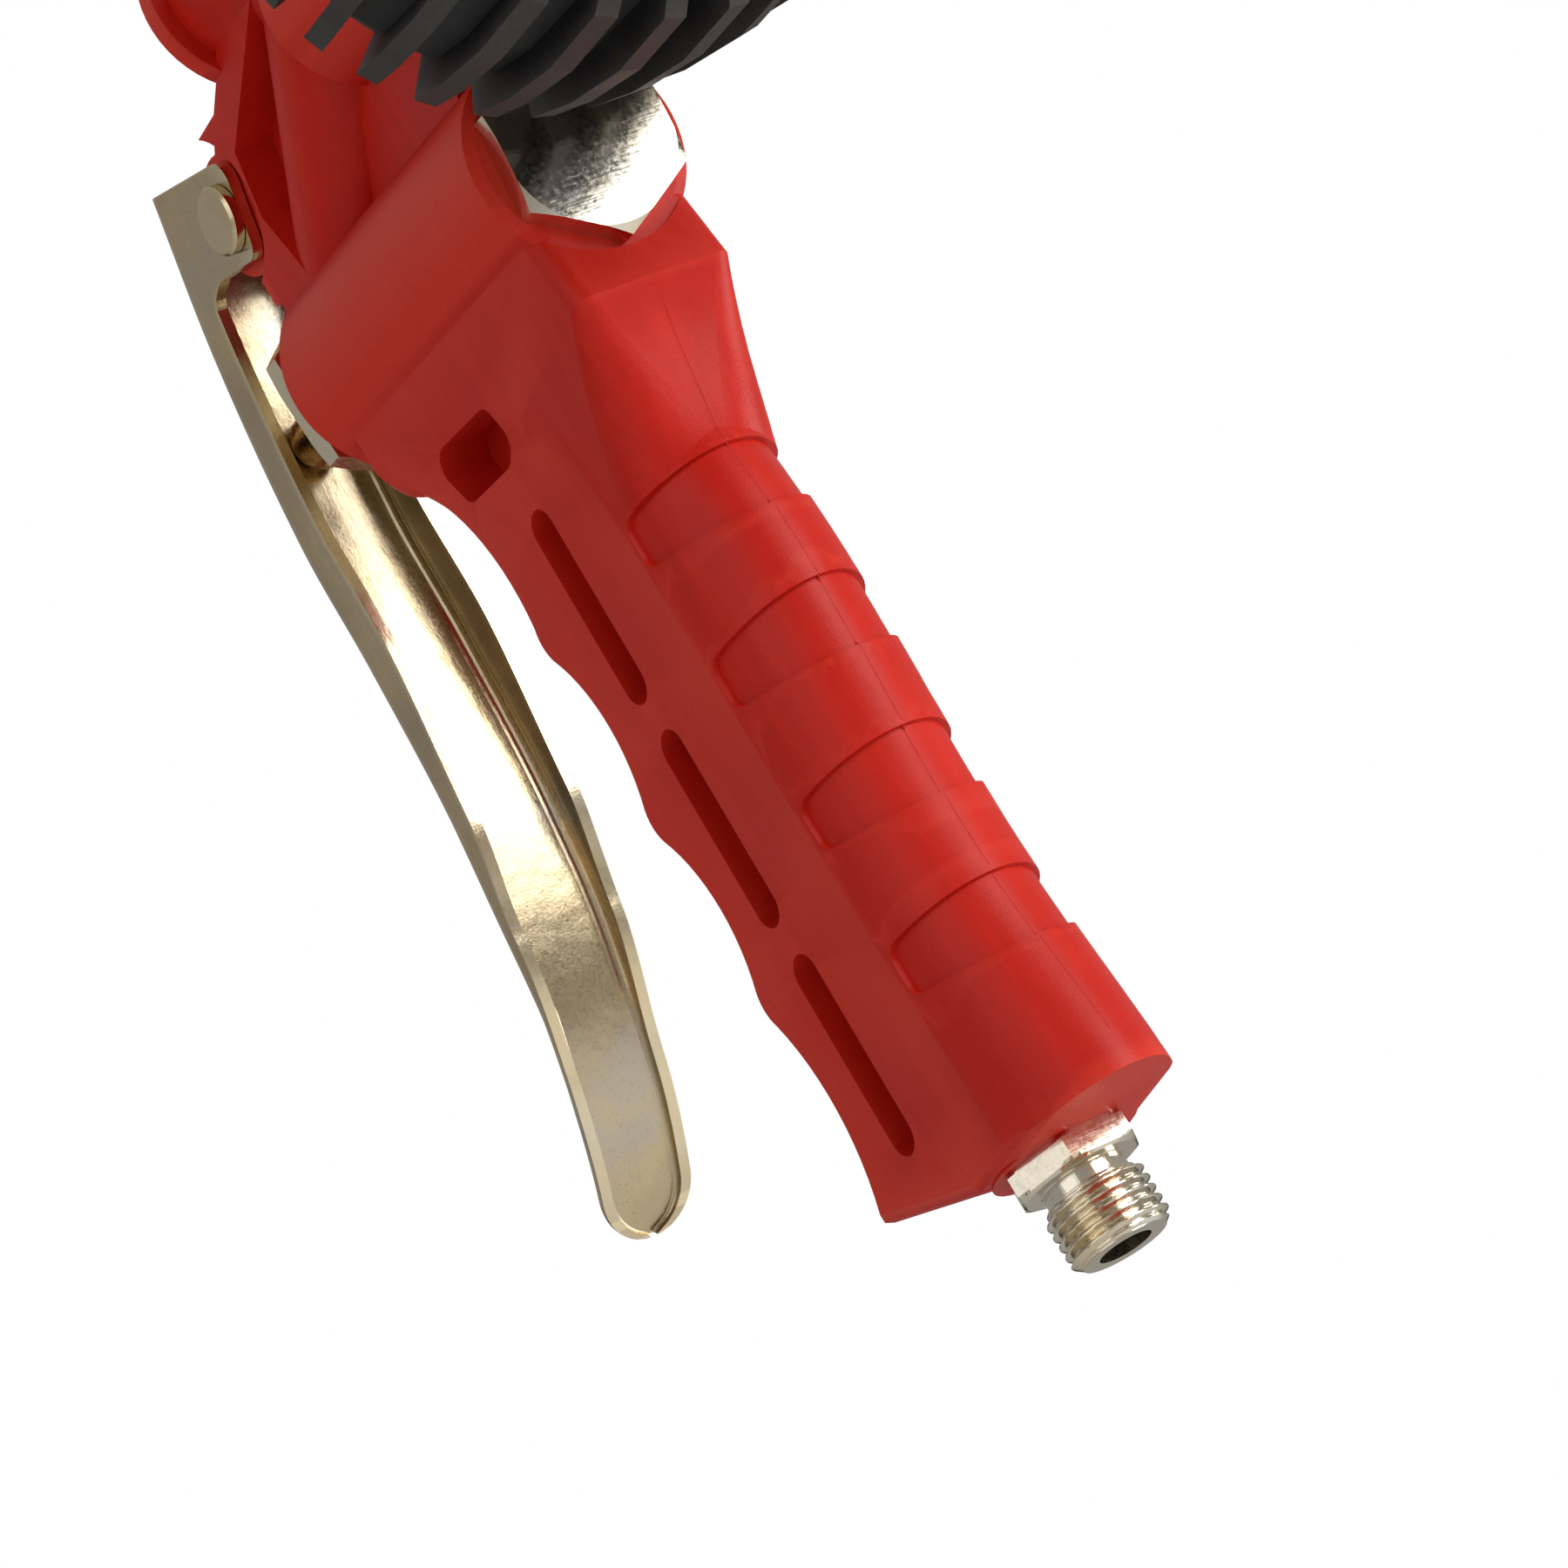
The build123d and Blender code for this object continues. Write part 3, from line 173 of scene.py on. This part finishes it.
skin = bmesh.new()
skin.from_mesh(node["handle_body"].data)
grip_skin = BVHTree.FromBMesh(skin)
skin.free()
ridge = bmesh.new()
previous = None
height = LINE_TOP
while height > LINE_FOOT:
    hit = grip_skin.ray_cast(Vector((0.09, 0, height)), Vector((-1, 0, 0)))[0]
    proud = LINE_PROUD * (0.75 + 0.25 * math.sin(height * 900) * math.sin(height * 2300))
    row = [
        ridge.verts.new((hit.x - 0.0002, -LINE_HALF, height)),
        ridge.verts.new((hit.x + proud, 0, height)),
        ridge.verts.new((hit.x - 0.0002, LINE_HALF, height)),
    ]
    if previous:
        for side in range(3):
            over = (side + 1) % 3
            ridge.faces.new((previous[side], previous[over], row[over], row[side]))
    else:
        ridge.faces.new(row)
    previous = row
    height -= LINE_STEP
ridge.faces.new(previous)
mould_line = mesh_object("mould_line", ridge, nylon, "body", smooth=False)

# ---- inlet connector ----
# Brass bar turned and threaded, then bright nickel plated: a male thread, a relieved neck and a
# hexagon that clamps against the heel of the grip. The shank above it is pressed into the nylon.
THREAD_TOP = 0.0076
NECK_TOP = 0.0096
HEX_TOP = 0.0132
SHANK_TOP = 0.0302
CREST = 0.00657
ROOT = 0.00574
PITCH = 0.001337
NECK_RADIUS = 0.00528
HEX_FLATS = 0.0150
SHANK_RADIUS = 0.0074
BORE_RADIUS = 0.0034
TURN_STEPS = 96


def plated(name, warm, cool, low, high, dents):
    """Bright plating over turned metal: tint drifts between warm and cool, with small dents."""
    material, tree, shader, place = fresh_material(name)
    drift = noise(tree, place, 90, 4)
    specks = noise(tree, place, 1500, 5, 0.65)
    lathe = noise(tree, place, 500, 2, 0.5, (0.4, 0.4, 6))
    tint = ramp(tree, drift, [(0.3, cool), (0.7, warm)])
    stain = ramp(tree, specks, [(0.3, tuple(c * 0.62 for c in warm)), (0.55, warm)])
    tint = blend_colour(tree, spread(tree, specks, 0.45, 0.05, 0.30, 0.45), tint, stain)
    tree.links.new(tint, shader.inputs["Base Color"])
    tree.links.new(spread(tree, specks, low, high), shader.inputs["Roughness"])
    shader.inputs["Metallic"].default_value = 1.0
    bump(tree, shader, [(drift, dents), (lathe, dents * 0.08), (specks, dents * 0.05)])
    return material


nickel = plated("bright_nickel", (0.80, 0.68, 0.47), (0.78, 0.76, 0.70), 0.10, 0.24, 0.00012)


def thread_radius(height, turn):
    """Sixty-degree thread form with its crests and roots a little flattened, fading at the ends."""
    phase = (height / PITCH - turn) % 1.0
    slope = abs(phase - 0.5) * 2.0
    form = min(max((slope - 0.14) / 0.72, 0.0), 1.0)
    start = min(max((height - 0.0001) / 0.0009, 0.0), 1.0)
    finish = min(max((THREAD_TOP - height) / 0.0007, 0.0), 1.0)
    crest = ROOT + (CREST - ROOT) * form * finish
    return min(crest, ROOT - 0.0003 + (CREST - ROOT + 0.0003) * start)


def hex_radius(turn, flats, drop=0.0):
    """Distance to a hexagon's side, its corners turned down by drop."""
    angle = (turn * 2 * math.pi + math.pi / 6) % (math.pi / 3) - math.pi / 6
    return min(flats / 2 / math.cos(angle), flats / 3**0.5 - drop)


rings = [(0.0, lambda t: BORE_RADIUS), (0.0, lambda t: thread_radius(0.0, t))]
for k in range(1, 77):
    level = THREAD_TOP * k / 76
    rings.append((level, lambda t, z=level: thread_radius(z, t)))
rings += [
    (THREAD_TOP + 0.0002, lambda t: NECK_RADIUS),
    (NECK_TOP - 0.0001, lambda t: NECK_RADIUS),
    (NECK_TOP, lambda t: NECK_RADIUS + 0.0001),
    (NECK_TOP, lambda t: HEX_FLATS / 2 - 0.0003),
    (NECK_TOP + 0.00035, lambda t: hex_radius(t, HEX_FLATS, 0.0006)),
    (NECK_TOP + 0.0007, lambda t: hex_radius(t, HEX_FLATS, 0.0)),
    (HEX_TOP - 0.0005, lambda t: hex_radius(t, HEX_FLATS, 0.0)),
    (HEX_TOP, lambda t: hex_radius(t, HEX_FLATS, 0.0006)),
    (HEX_TOP, lambda t: SHANK_RADIUS),
    (SHANK_TOP, lambda t: SHANK_RADIUS),
    (SHANK_TOP, lambda t: 0.0052),
    (HEX_TOP + 0.0050, lambda t: 0.0052),
    (HEX_TOP + 0.0050, lambda t: BORE_RADIUS),
]


def skin_rings(shape, rings, steps, place=lambda x, y, z: (x, y, z)):
    """Loft rings of (height, radius by turn) into one closed surface."""
    rows = []
    for level, radius in rings:
        row = []
        for k in range(steps):
            turn = k / steps
            r = radius(turn)
            x, y = r * math.cos(turn * 2 * math.pi), r * math.sin(turn * 2 * math.pi)
            row.append(shape.verts.new(place(x, y, level)))
        rows.append(row)
    for lower, upper in zip(rows, rows[1:] + rows[:1]):
        for k in range(steps):
            after = (k + 1) % steps
            shape.faces.new((lower[k], lower[after], upper[after], upper[k]))


fitting_shape = bmesh.new()
skin_rings(fitting_shape, rings, TURN_STEPS)
inlet_fitting = mesh_object("inlet_fitting", fitting_shape, nickel, "body", smooth=False)
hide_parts("inlet_connector")

# ---- valve plug and gland ----
# Two nickel-plated brass hexagons close the barrel: the plug behind, the gland in front with the
# push rod running through it. Both are screwed in.
dress(["rear_plug", "front_gland"], nickel)

# ---- valve insides ----
# Turned brass sleeve and spool with nitrile O-rings and a steel return spring, and a sintered
# bronze filter in the inlet. Only the push rod's nose shows, between the gland and the lever.
brass = plated("turned_brass", (0.72, 0.48, 0.17), (0.66, 0.47, 0.22), 0.18, 0.34, 0.00005)
wire_steel = plated("spring_steel", (0.52, 0.50, 0.46), (0.48, 0.48, 0.49), 0.20, 0.36, 0.00004)
dress(["valve_sleeve", "valve_stem"], brass)
dress(["valve_spring"], wire_steel)

bronze, tree, shader, place = fresh_material("sintered_bronze")
beads = tree.nodes.new("ShaderNodeTexVoronoi")
beads.inputs["Scale"].default_value = 2600
tree.links.new(place, beads.inputs["Vector"])
# Painted shade: each bead is bright at its centre and darkens toward the gaps between beads.
bead_gap_shade_tint = ramp(
    tree, beads.outputs["Distance"], [(0.1, (0.50, 0.30, 0.12)), (0.6, (0.16, 0.08, 0.03))]
)
tree.links.new(bead_gap_shade_tint, shader.inputs["Base Color"])
tree.links.new(spread(tree, beads.outputs["Distance"], 0.4, 0.8), shader.inputs["Roughness"])
shader.inputs["Metallic"].default_value = 1.0
bump(tree, shader, [(beads.outputs["Distance"], 0.0002)])
dress(["inlet_filter"], bronze)

nitrile, tree, shader, place = fresh_material("nitrile_seal")
bloom = noise(tree, place, 400, 4)
tree.links.new(
    ramp(tree, bloom, [(0.3, (0.010, 0.010, 0.011)), (0.7, (0.026, 0.026, 0.027))]),
    shader.inputs["Base Color"],
)
tree.links.new(spread(tree, bloom, 0.42, 0.62), shader.inputs["Roughness"])
bump(tree, shader, [(bloom, 0.00004)])
seals = ["inlet_seal", "plug_seal", "stem_seal", "spool_seals", "outlet_seal", "gauge_seal"]
dress(seals + ["window_gasket"], nitrile)

# ---- outlet bush ----
# Nickel-plated brass bush screwed into the top front boss over an O-ring, tapped for the hose.
dress(["outlet_bush"], nickel)

# ---- squeeze lever and its pin ----
# Steel strip pressed into a channel, its flanges fading out toward the tongue-shaped tip, then
# barrel plated a yellowish bright zinc. The headed pin is plated with it and held by a clip.
zinc, tree, shader, place = fresh_material("yellowish_bright_zinc")
cloud = noise(tree, place, 38, 4, 0.55)
drawn = noise(tree, place, 210, 5, 0.6, (1, 1, 0.16))
specks = noise(tree, place, 2300, 4, 0.7)
gold = ramp(
    tree, cloud,
    [(0.30, (0.40, 0.33, 0.23)), (0.52, (0.58, 0.46, 0.28)), (0.72, (0.44, 0.42, 0.39))],
)
dull = ramp(tree, specks, [(0.35, (0.30, 0.23, 0.14)), (0.6, (0.66, 0.55, 0.36))])
gold = blend_colour(tree, spread(tree, specks, 0.55, 0.0, 0.30, 0.46), gold, dull)
# Painted highlight: cream along the lever's convex edges and flange rims.
edge_highlight_cream = ramp(tree, drawn, [(0.3, (0.84, 0.70, 0.45)), (0.7, (0.90, 0.80, 0.58))])
gold = blend_colour(tree, edge_wear(tree, 0.53, 0.64), gold, edge_highlight_cream)
tree.links.new(gold, shader.inputs["Base Color"])
tree.links.new(spread(tree, specks, 0.15, 0.27), shader.inputs["Roughness"])
shader.inputs["Metallic"].default_value = 1.0
bump(tree, shader, [(cloud, 0.0004), (drawn, 0.00008), (specks, 0.00002)])
dress(["pivot_pin"], zinc)
dress(["pin_clip"], wire_steel)

PIVOT = Vector((-0.0398, 0, 0.1769))
LEVER_HALF = 0.0080
TIP_LONG = 0.0065
TIP_BLUNT = 0.0001
EAR_FILLET = 0.0035
EAR_FILLET_RISE = 0.0040
SQUEEZE = 0.85
LEAST_INNER = 0.45
LEAST_BEND = 0.0004
THIN_RIM = 0.7
SHEET = 0.0015
BEND = 0.0030
EAR_DEEP = 0.0236
EAR_LONG = 0.0134
HOLE_RADIUS = 0.00306
FRONT_LINE = (
    (-0.0156, 0.0134), (-0.0236, -0.0080), (-0.0292, -0.0330), (-0.0302, -0.0520),
    (-0.0330, -0.0760), (-0.0416, -0.1040), (-0.0566, -0.1246),
)
FLANGE = (
    (0.0142, 0.0082), (0.040, 0.0086), (0.066, 0.0090), (0.090, 0.0068),
    (0.106, 0.0046), (0.124, 0.0028), (0.150, 0.0024),
)
WIDTH = ((0.0, 1.0), (0.100, 1.0), (0.126, 0.88), (0.1465, 0.82))


def along(table, s):
    """Value of a table of (distance, value) at s, eased between its rows."""
    for (s0, v0), (s1, v1) in zip(table, table[1:]):
        if s <= s1:
            t = min(max((s - s0) / (s1 - s0), 0.0), 1.0)
            return v0 + (v1 - v0) * t * t * (3 - 2 * t)
    return table[-1][1]


def front_points(steps):
    """Points down the lever's front line with their distance and rearward direction."""
    knots = [Vector((x, 0, z)) for x, z in FRONT_LINE]
    heading = [Vector((-0.36, 0, -0.93))]
    heading += [(b - a).normalized() for a, b in zip(knots, knots[2:])]
    heading.append(Vector((-0.75, 0, -0.66)))
    trail = []
    for k, (a, b) in enumerate(zip(knots, knots[1:])):
        reach = (b - a).length
        for n in range(steps + (k == len(knots) - 2)):
            t = n / steps
            trail.append(
                a * (2 * t**3 - 3 * t**2 + 1) + b * (3 * t**2 - 2 * t**3)
                + heading[k] * reach * (t**3 - 2 * t**2 + t)
                + heading[k + 1] * reach * (t**3 - t**2)
            )
    distance = 0.0
    stations = []
    for before, point, after in zip([trail[0]] + trail, trail, trail[1:] + [trail[-1]]):
        distance += (point - before).length
        run = (after - before).normalized()
        stations.append((distance, point + PIVOT, Vector((-run.z, 0, run.x))))
    return stations


def channel_side(half, deep, bend, base):
    """One face of the pressed channel as (across, rearward) pairs, edge to edge."""
    left = [(-half, deep + (base + bend - deep) * k / 4) for k in range(4)]
    for k in range(7):
        angle = math.radians(15 * k)
        left.append((bend - half - bend * math.cos(angle), base + bend - bend * math.sin(angle)))
    return left + [(0.0, base)] + [(-y, d) for y, d in reversed(left)]


stations = front_points(56)
full = stations[-1][0]
lever_shape = bmesh.new()
rows = []
for s, point, rear in stations:
    half = LEVER_HALF * along(WIDTH, s)
    tip = max(0.0, (s - full + TIP_LONG) / (TIP_LONG + TIP_BLUNT))
    half *= math.sqrt(1 - tip * tip)
    if s < EAR_LONG:
        off = max(BEND - s, s - EAR_LONG + BEND, 0.0)
        deep = EAR_DEEP - BEND + math.sqrt(BEND**2 - off**2)
    else:
        near_ear = max(0.0, 1 - (s - EAR_LONG) / EAR_FILLET)
        deep = max(along(FLANGE, s), (FLANGE[0][1] + EAR_FILLET_RISE * near_ear**2) * (near_ear > 0))
    bend = min(BEND, deep * SQUEEZE, half * SQUEEZE)
    inner = max(half - SHEET, half * LEAST_INNER)
    faces = channel_side(half, deep, bend, 0.0)
    inner_bend = max(bend - SHEET, LEAST_BEND)
    faces += channel_side(inner, deep, inner_bend, min(SHEET, deep * THIN_RIM))[::-1]
    rows.append([lever_shape.verts.new(point + rear * d + Vector((0, y, 0))) for y, d in faces])
count = len(rows[0])
for above, below in zip(rows, rows[1:]):
    for k in range(count):
        over = (k + 1) % count
        lever_shape.faces.new((above[k], above[over], below[over], below[k]))
for row in (rows[0], rows[-1]):
    for k in range(count // 2 - 1):
        lever_shape.faces.new((row[k], row[k + 1], row[-k - 2], row[-k - 1]))
pressed_lever = mesh_object("pressed_lever", lever_shape, zinc, "lever", smooth=False)
punch_shape = bmesh.new()
bmesh.ops.create_cone(
    punch_shape, cap_ends=True, segments=48, radius1=HOLE_RADIUS, radius2=HOLE_RADIUS, depth=0.06,
    matrix=Matrix.Translation(PIVOT) @ Matrix.Rotation(math.pi / 2, 4, "X"),
)
punch_mesh = bpy.data.meshes.new("punch")
punch_shape.to_mesh(punch_mesh)
punch_shape.free()
punch = bpy.data.objects.new("punch", punch_mesh)
bpy.context.scene.collection.objects.link(punch)
cut = pressed_lever.modifiers.new("pin_hole", "BOOLEAN")
cut.operation = "DIFFERENCE"
cut.object = punch
cut.solver = "EXACT"
holed = bpy.data.meshes.new_from_object(
    pressed_lever.evaluated_get(bpy.context.evaluated_depsgraph_get())
)
pressed_lever.modifiers.clear()
pressed_lever.data = holed
bpy.data.objects.remove(punch)
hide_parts("lever")

# ---- gauge boot ----
# Moulded rubber cup with square-ended fins all round, which takes the knocks when it is dropped.
# Charcoal, matt, with a fine spark-eroded grain; the fin crests are painted a paler grey as a
# highlight.
boot, tree, shader, place = fresh_material("charcoal_rubber")
dust = noise(tree, place, 120, 6, 0.62)
pores = noise(tree, place, 2600, 3)
black = ramp(tree, dust, [(0.3, (0.012, 0.012, 0.013)), (0.72, (0.030, 0.029, 0.028))])
# Painted highlight: the fin crests and other convex edges turn paler grey.
crest_highlight_grey = ramp(tree, pores, [(0.3, (0.045, 0.043, 0.040)), (0.7, (0.085, 0.080, 0.074))])
black = blend_colour(tree, edge_wear(tree, 0.51, 0.60), black, crest_highlight_grey)
tree.links.new(black, shader.inputs["Base Color"])
tree.links.new(spread(tree, dust, 0.48, 0.68), shader.inputs["Roughness"])
bump(tree, shader, [(dust, 0.00012), (pores, 0.00003)])
dress(["gauge_boot"], boot)

# ---- gauge case, bezel and window ----
# Drawn steel case and rolled bezel in black stove enamel, with a clear moulded window between.
enamel, tree, shader, place = fresh_material("black_enamel")
peel = noise(tree, place, 900, 3)
tree.links.new(
    ramp(tree, peel, [(0.3, (0.012, 0.012, 0.013)), (0.7, (0.020, 0.020, 0.021))]),
    shader.inputs["Base Color"],
)
tree.links.new(spread(tree, peel, 0.22, 0.34), shader.inputs["Roughness"])
bump(tree, shader, [(peel, 0.00003)])
dress(["gauge_case", "bezel_ring"], enamel)

clear, tree, shader, place = fresh_material("clear_window")
haze = noise(tree, place, 700, 4, 0.7, (1, 4, 1))
tree.links.new(
    ramp(tree, haze, [(0.3, (0.94, 0.97, 0.97)), (0.7, (1.0, 1.0, 1.0))]), shader.inputs["Base Color"]
)
tree.links.new(spread(tree, haze, 0.01, 0.05), shader.inputs["Roughness"])
shader.inputs["Transmission Weight"].default_value = 1.0
shader.inputs["IOR"].default_value = 1.49
dress(["dial_window"], clear)

# ---- gauge movement ----
# Stamped brass plates, sector gear and link, a steel pinion arbor and hairspring, and the bent
# Bourdon tube brazed into its socket behind the dial.
movement = ["gauge_socket", "bourdon_tube", "bourdon_tip", "movement_base", "movement_bridge"]
movement += ["movement_pillars", "sector_gear", "tip_link", "dial_screws", "stop_pin"]
dress(movement, brass)
dress(["pinion_arbor", "hairspring"], wire_steel)

# ---- dial and pointer ----
# Pressed aluminium dial, sprayed white, with black graduations and figures. The pointer is thin
# sheet, sprayed red, on a turned hub.
DIAL_TILT = math.radians(9.8)
GAUGE_UP = 0.036
DIAL_FACE = 0.0336 + 0.0241
PRINT = 0.00006
SCALE_START = math.radians(225)
SCALE_SWEEP = math.radians(270)
FIGURES = 12

white, tree, shader, place = fresh_material("dial_white")
age = noise(tree, place, 260, 4)
tree.links.new(
    ramp(tree, age, [(0.3, (0.74, 0.73, 0.68)), (0.7, (0.84, 0.83, 0.80))]), shader.inputs["Base Color"]
)
tree.links.new(spread(tree, age, 0.35, 0.5), shader.inputs["Roughness"])
dress(["dial"], white)

ink, tree, shader, place = fresh_material("dial_ink")
thin = noise(tree, place, 1800, 3)
tree.links.new(
    ramp(tree, thin, [(0.3, (0.010, 0.010, 0.011)), (0.7, (0.030, 0.030, 0.032))]),
    shader.inputs["Base Color"],
)
tree.links.new(spread(tree, thin, 0.35, 0.55), shader.inputs["Roughness"])

needle, tree, shader, place = fresh_material("pointer_red")
spray = noise(tree, place, 1500, 3)
tree.links.new(
    ramp(tree, spray, [(0.3, (0.42, 0.012, 0.008)), (0.7, (0.55, 0.025, 0.015))]),
    shader.inputs["Base Color"],
)
tree.links.new(spread(tree, spray, 0.3, 0.45), shader.inputs["Roughness"])
dress(["pointer"], needle)

rearward = Vector((math.cos(DIAL_TILT), 0, -math.sin(DIAL_TILT)))
upward = Vector((math.sin(DIAL_TILT), 0, math.cos(DIAL_TILT)))
dial_centre = Vector((0, 0, 0.1438)) + upward * GAUGE_UP + rearward * DIAL_FACE


def on_dial(right, up, proud=0.0):
    """A point on the dial's face."""
    return dial_centre + Vector((0, 1, 0)) * right + upward * up + rearward * proud


marks = bmesh.new()


def printed_bar(angle, inner, outer, width):
    """One graduation: a thin raised bar pointing at the dial's centre."""
    ends = []
    for radius in (inner, outer):
        for half in (-width / 2, width / 2):
            x = radius * math.cos(angle) - half * math.sin(angle)
            y = radius * math.sin(angle) + half * math.cos(angle)
            ends.append((x, y))
    order = (ends[0], ends[1], ends[3], ends[2])
    low = [marks.verts.new(on_dial(x, y, -PRINT)) for x, y in order]
    high = [marks.verts.new(on_dial(x, y, PRINT)) for x, y in order]
    marks.faces.new(low)
    marks.faces.new(high)
    for k in range(4):
        marks.faces.new((low[k], low[(k + 1) % 4], high[(k + 1) % 4], high[k]))


for k in range(FIGURES * 5 + 1):
    angle = SCALE_START - SCALE_SWEEP * k / (FIGURES * 5)
    if k % 5 == 0:
        printed_bar(angle, 0.0222, 0.0262, 0.00055)
    else:
        printed_bar(angle, 0.0240, 0.0262, 0.00025)
for k in range(180):
    angle = SCALE_START - SCALE_SWEEP * (k + 0.5) / 180
    printed_bar(angle, 0.02620, 0.02650, 0.0262 * SCALE_SWEEP / 180 * 1.02)
graduations = mesh_object("dial_graduations", marks, ink, "body", smooth=False)

for k in range(FIGURES + 1):
    angle = SCALE_START - SCALE_SWEEP * k / FIGURES
    letters = bpy.data.curves.new(f"dial_figure_{k}", "FONT")
    letters.body = str(k)
    letters.size = 0.0042
    letters.extrude = PRINT
    letters.align_x = "CENTER"
    letters.align_y = "CENTER"
    pattern = bpy.data.objects.new(f"figure_pattern_{k}", letters)
    bpy.context.scene.collection.objects.link(pattern)
    bpy.context.view_layer.update()
    mesh = bpy.data.meshes.new_from_object(pattern)
    bpy.data.objects.remove(pattern)
    for vertex in mesh.vertices:
        x = vertex.co.x + 0.0190 * math.cos(angle)
        y = vertex.co.y + 0.0190 * math.sin(angle)
        vertex.co = on_dial(x, y, vertex.co.z)
    mesh.materials.clear()
    mesh.materials.append(ink)
    figure = bpy.data.objects.new(f"dial_figure_{k}", mesh)
    bpy.context.scene.collection.objects.link(figure)
    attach(figure, "body")

# ---- floor, light and camera ----
# Plain pale floor well below the tool, three soft boxes, and a low camera behind and to one
# side, tilted over as the tool is held.
FLOOR_HALF = 4
FLOOR_HEIGHT = -0.42
CAMERA_PLACE = (0.6516, -0.4009, -0.1650)

paper, tree, shader, place = fresh_material("pale_floor")
fibre = noise(tree, place, 40, 3)
tree.links.new(
    ramp(tree, fibre, [(0.3, (0.86, 0.86, 0.86)), (0.7, (0.89, 0.89, 0.89))]),
    shader.inputs["Base Color"],
)
tree.links.new(spread(tree, fibre, 0.8, 0.9), shader.inputs["Roughness"])
sheet = bmesh.new()
for x, y in ((-1, -1), (1, -1), (1, 1), (-1, 1)):
    sheet.verts.new((x * FLOOR_HALF, y * FLOOR_HALF, FLOOR_HEIGHT))
sheet.faces.new(sheet.verts[:])
floor_mesh = bpy.data.meshes.new("floor")
sheet.to_mesh(floor_mesh)
sheet.free()
floor_mesh.materials.append(paper)
floor = bpy.data.objects.new("floor", floor_mesh)
bpy.context.scene.collection.objects.link(floor)

AZIMUTH, ELEVATION, ROLL = math.radians(58.8), math.radians(-16.9), math.radians(31.7)
back = Vector(
    (
        math.sin(AZIMUTH) * math.cos(ELEVATION),
        -math.cos(AZIMUTH) * math.cos(ELEVATION),
        math.sin(ELEVATION),
    )
)
level = Vector((math.cos(AZIMUTH), math.sin(AZIMUTH), 0))
rise = back.cross(level)
right = level * math.cos(ROLL) - rise * math.sin(ROLL)
top = level * math.sin(ROLL) + rise * math.cos(ROLL)
lens = bpy.data.cameras.new("camera")
lens.lens = 159.1
lens.sensor_width = 36
lens.clip_start = 0.01
camera = bpy.data.objects.new("camera", lens)
bpy.context.scene.collection.objects.link(camera)
camera.matrix_world = Matrix(
    (
        (right.x, top.x, back.x, CAMERA_PLACE[0]),
        (right.y, top.y, back.y, CAMERA_PLACE[1]),
        (right.z, top.z, back.z, CAMERA_PLACE[2]),
        (0, 0, 0, 1),
    )
)
bpy.context.scene.camera = camera

aim = Vector((0.0, 0.0, 0.1))
for name, direction, distance, size, power in (
    ("key", back * 0.55 + top * 0.75 + right * 0.55, 0.9, 0.55, 5.6),
    ("fill", back * 0.8 - right * 0.9 + top * 0.1, 1.1, 0.9, 2.2),
    ("rim", right * 1.0 - back * 0.25 + top * 0.2, 0.9, 0.4, 2.6),
):
    lamp = bpy.data.lights.new(name, "AREA")
    lamp.size = size
    lamp.energy = power
    light = bpy.data.objects.new(name, lamp)
    light.location = aim + direction.normalized() * distance
    light.rotation_euler = (aim - light.location).to_track_quat("-Z", "Y").to_euler()
    bpy.context.scene.collection.objects.link(light)

world = bpy.data.worlds.new("studio")
world.use_nodes = True
bpy.context.scene.world = world
sky = world.node_tree
around = sky.nodes["Background"]
facing = sky.nodes.new("ShaderNodeTexCoord")
split = sky.nodes.new("ShaderNodeSeparateXYZ")
sky.links.new(facing.outputs["Generated"], split.inputs["Vector"])
height_share = spread(sky, split.outputs["Z"], 0.0, 1.0, -1.0, 1.0)
bands = [(0.30, (0.16, 0.15, 0.14)), (0.50, (0.07, 0.065, 0.06)), (0.62, (0.75, 0.73, 0.70))]
sky.links.new(ramp(sky, height_share, bands), around.inputs["Color"])
around.inputs["Strength"].default_value = 0.5
plain = sky.nodes.new("ShaderNodeBackground")
plain.inputs["Color"].default_value = (1, 1, 1, 1)
plain.inputs["Strength"].default_value = 1.0
path = sky.nodes.new("ShaderNodeLightPath")
either = sky.nodes.new("ShaderNodeMixShader")
sky.links.new(path.outputs["Is Camera Ray"], either.inputs["Fac"])
sky.links.new(around.outputs["Background"], either.inputs[1])
sky.links.new(plain.outputs["Background"], either.inputs[2])
sky.links.new(either.outputs["Shader"], sky.nodes["World Output"].inputs["Surface"])
bpy.context.scene.view_settings.view_transform = "Standard"
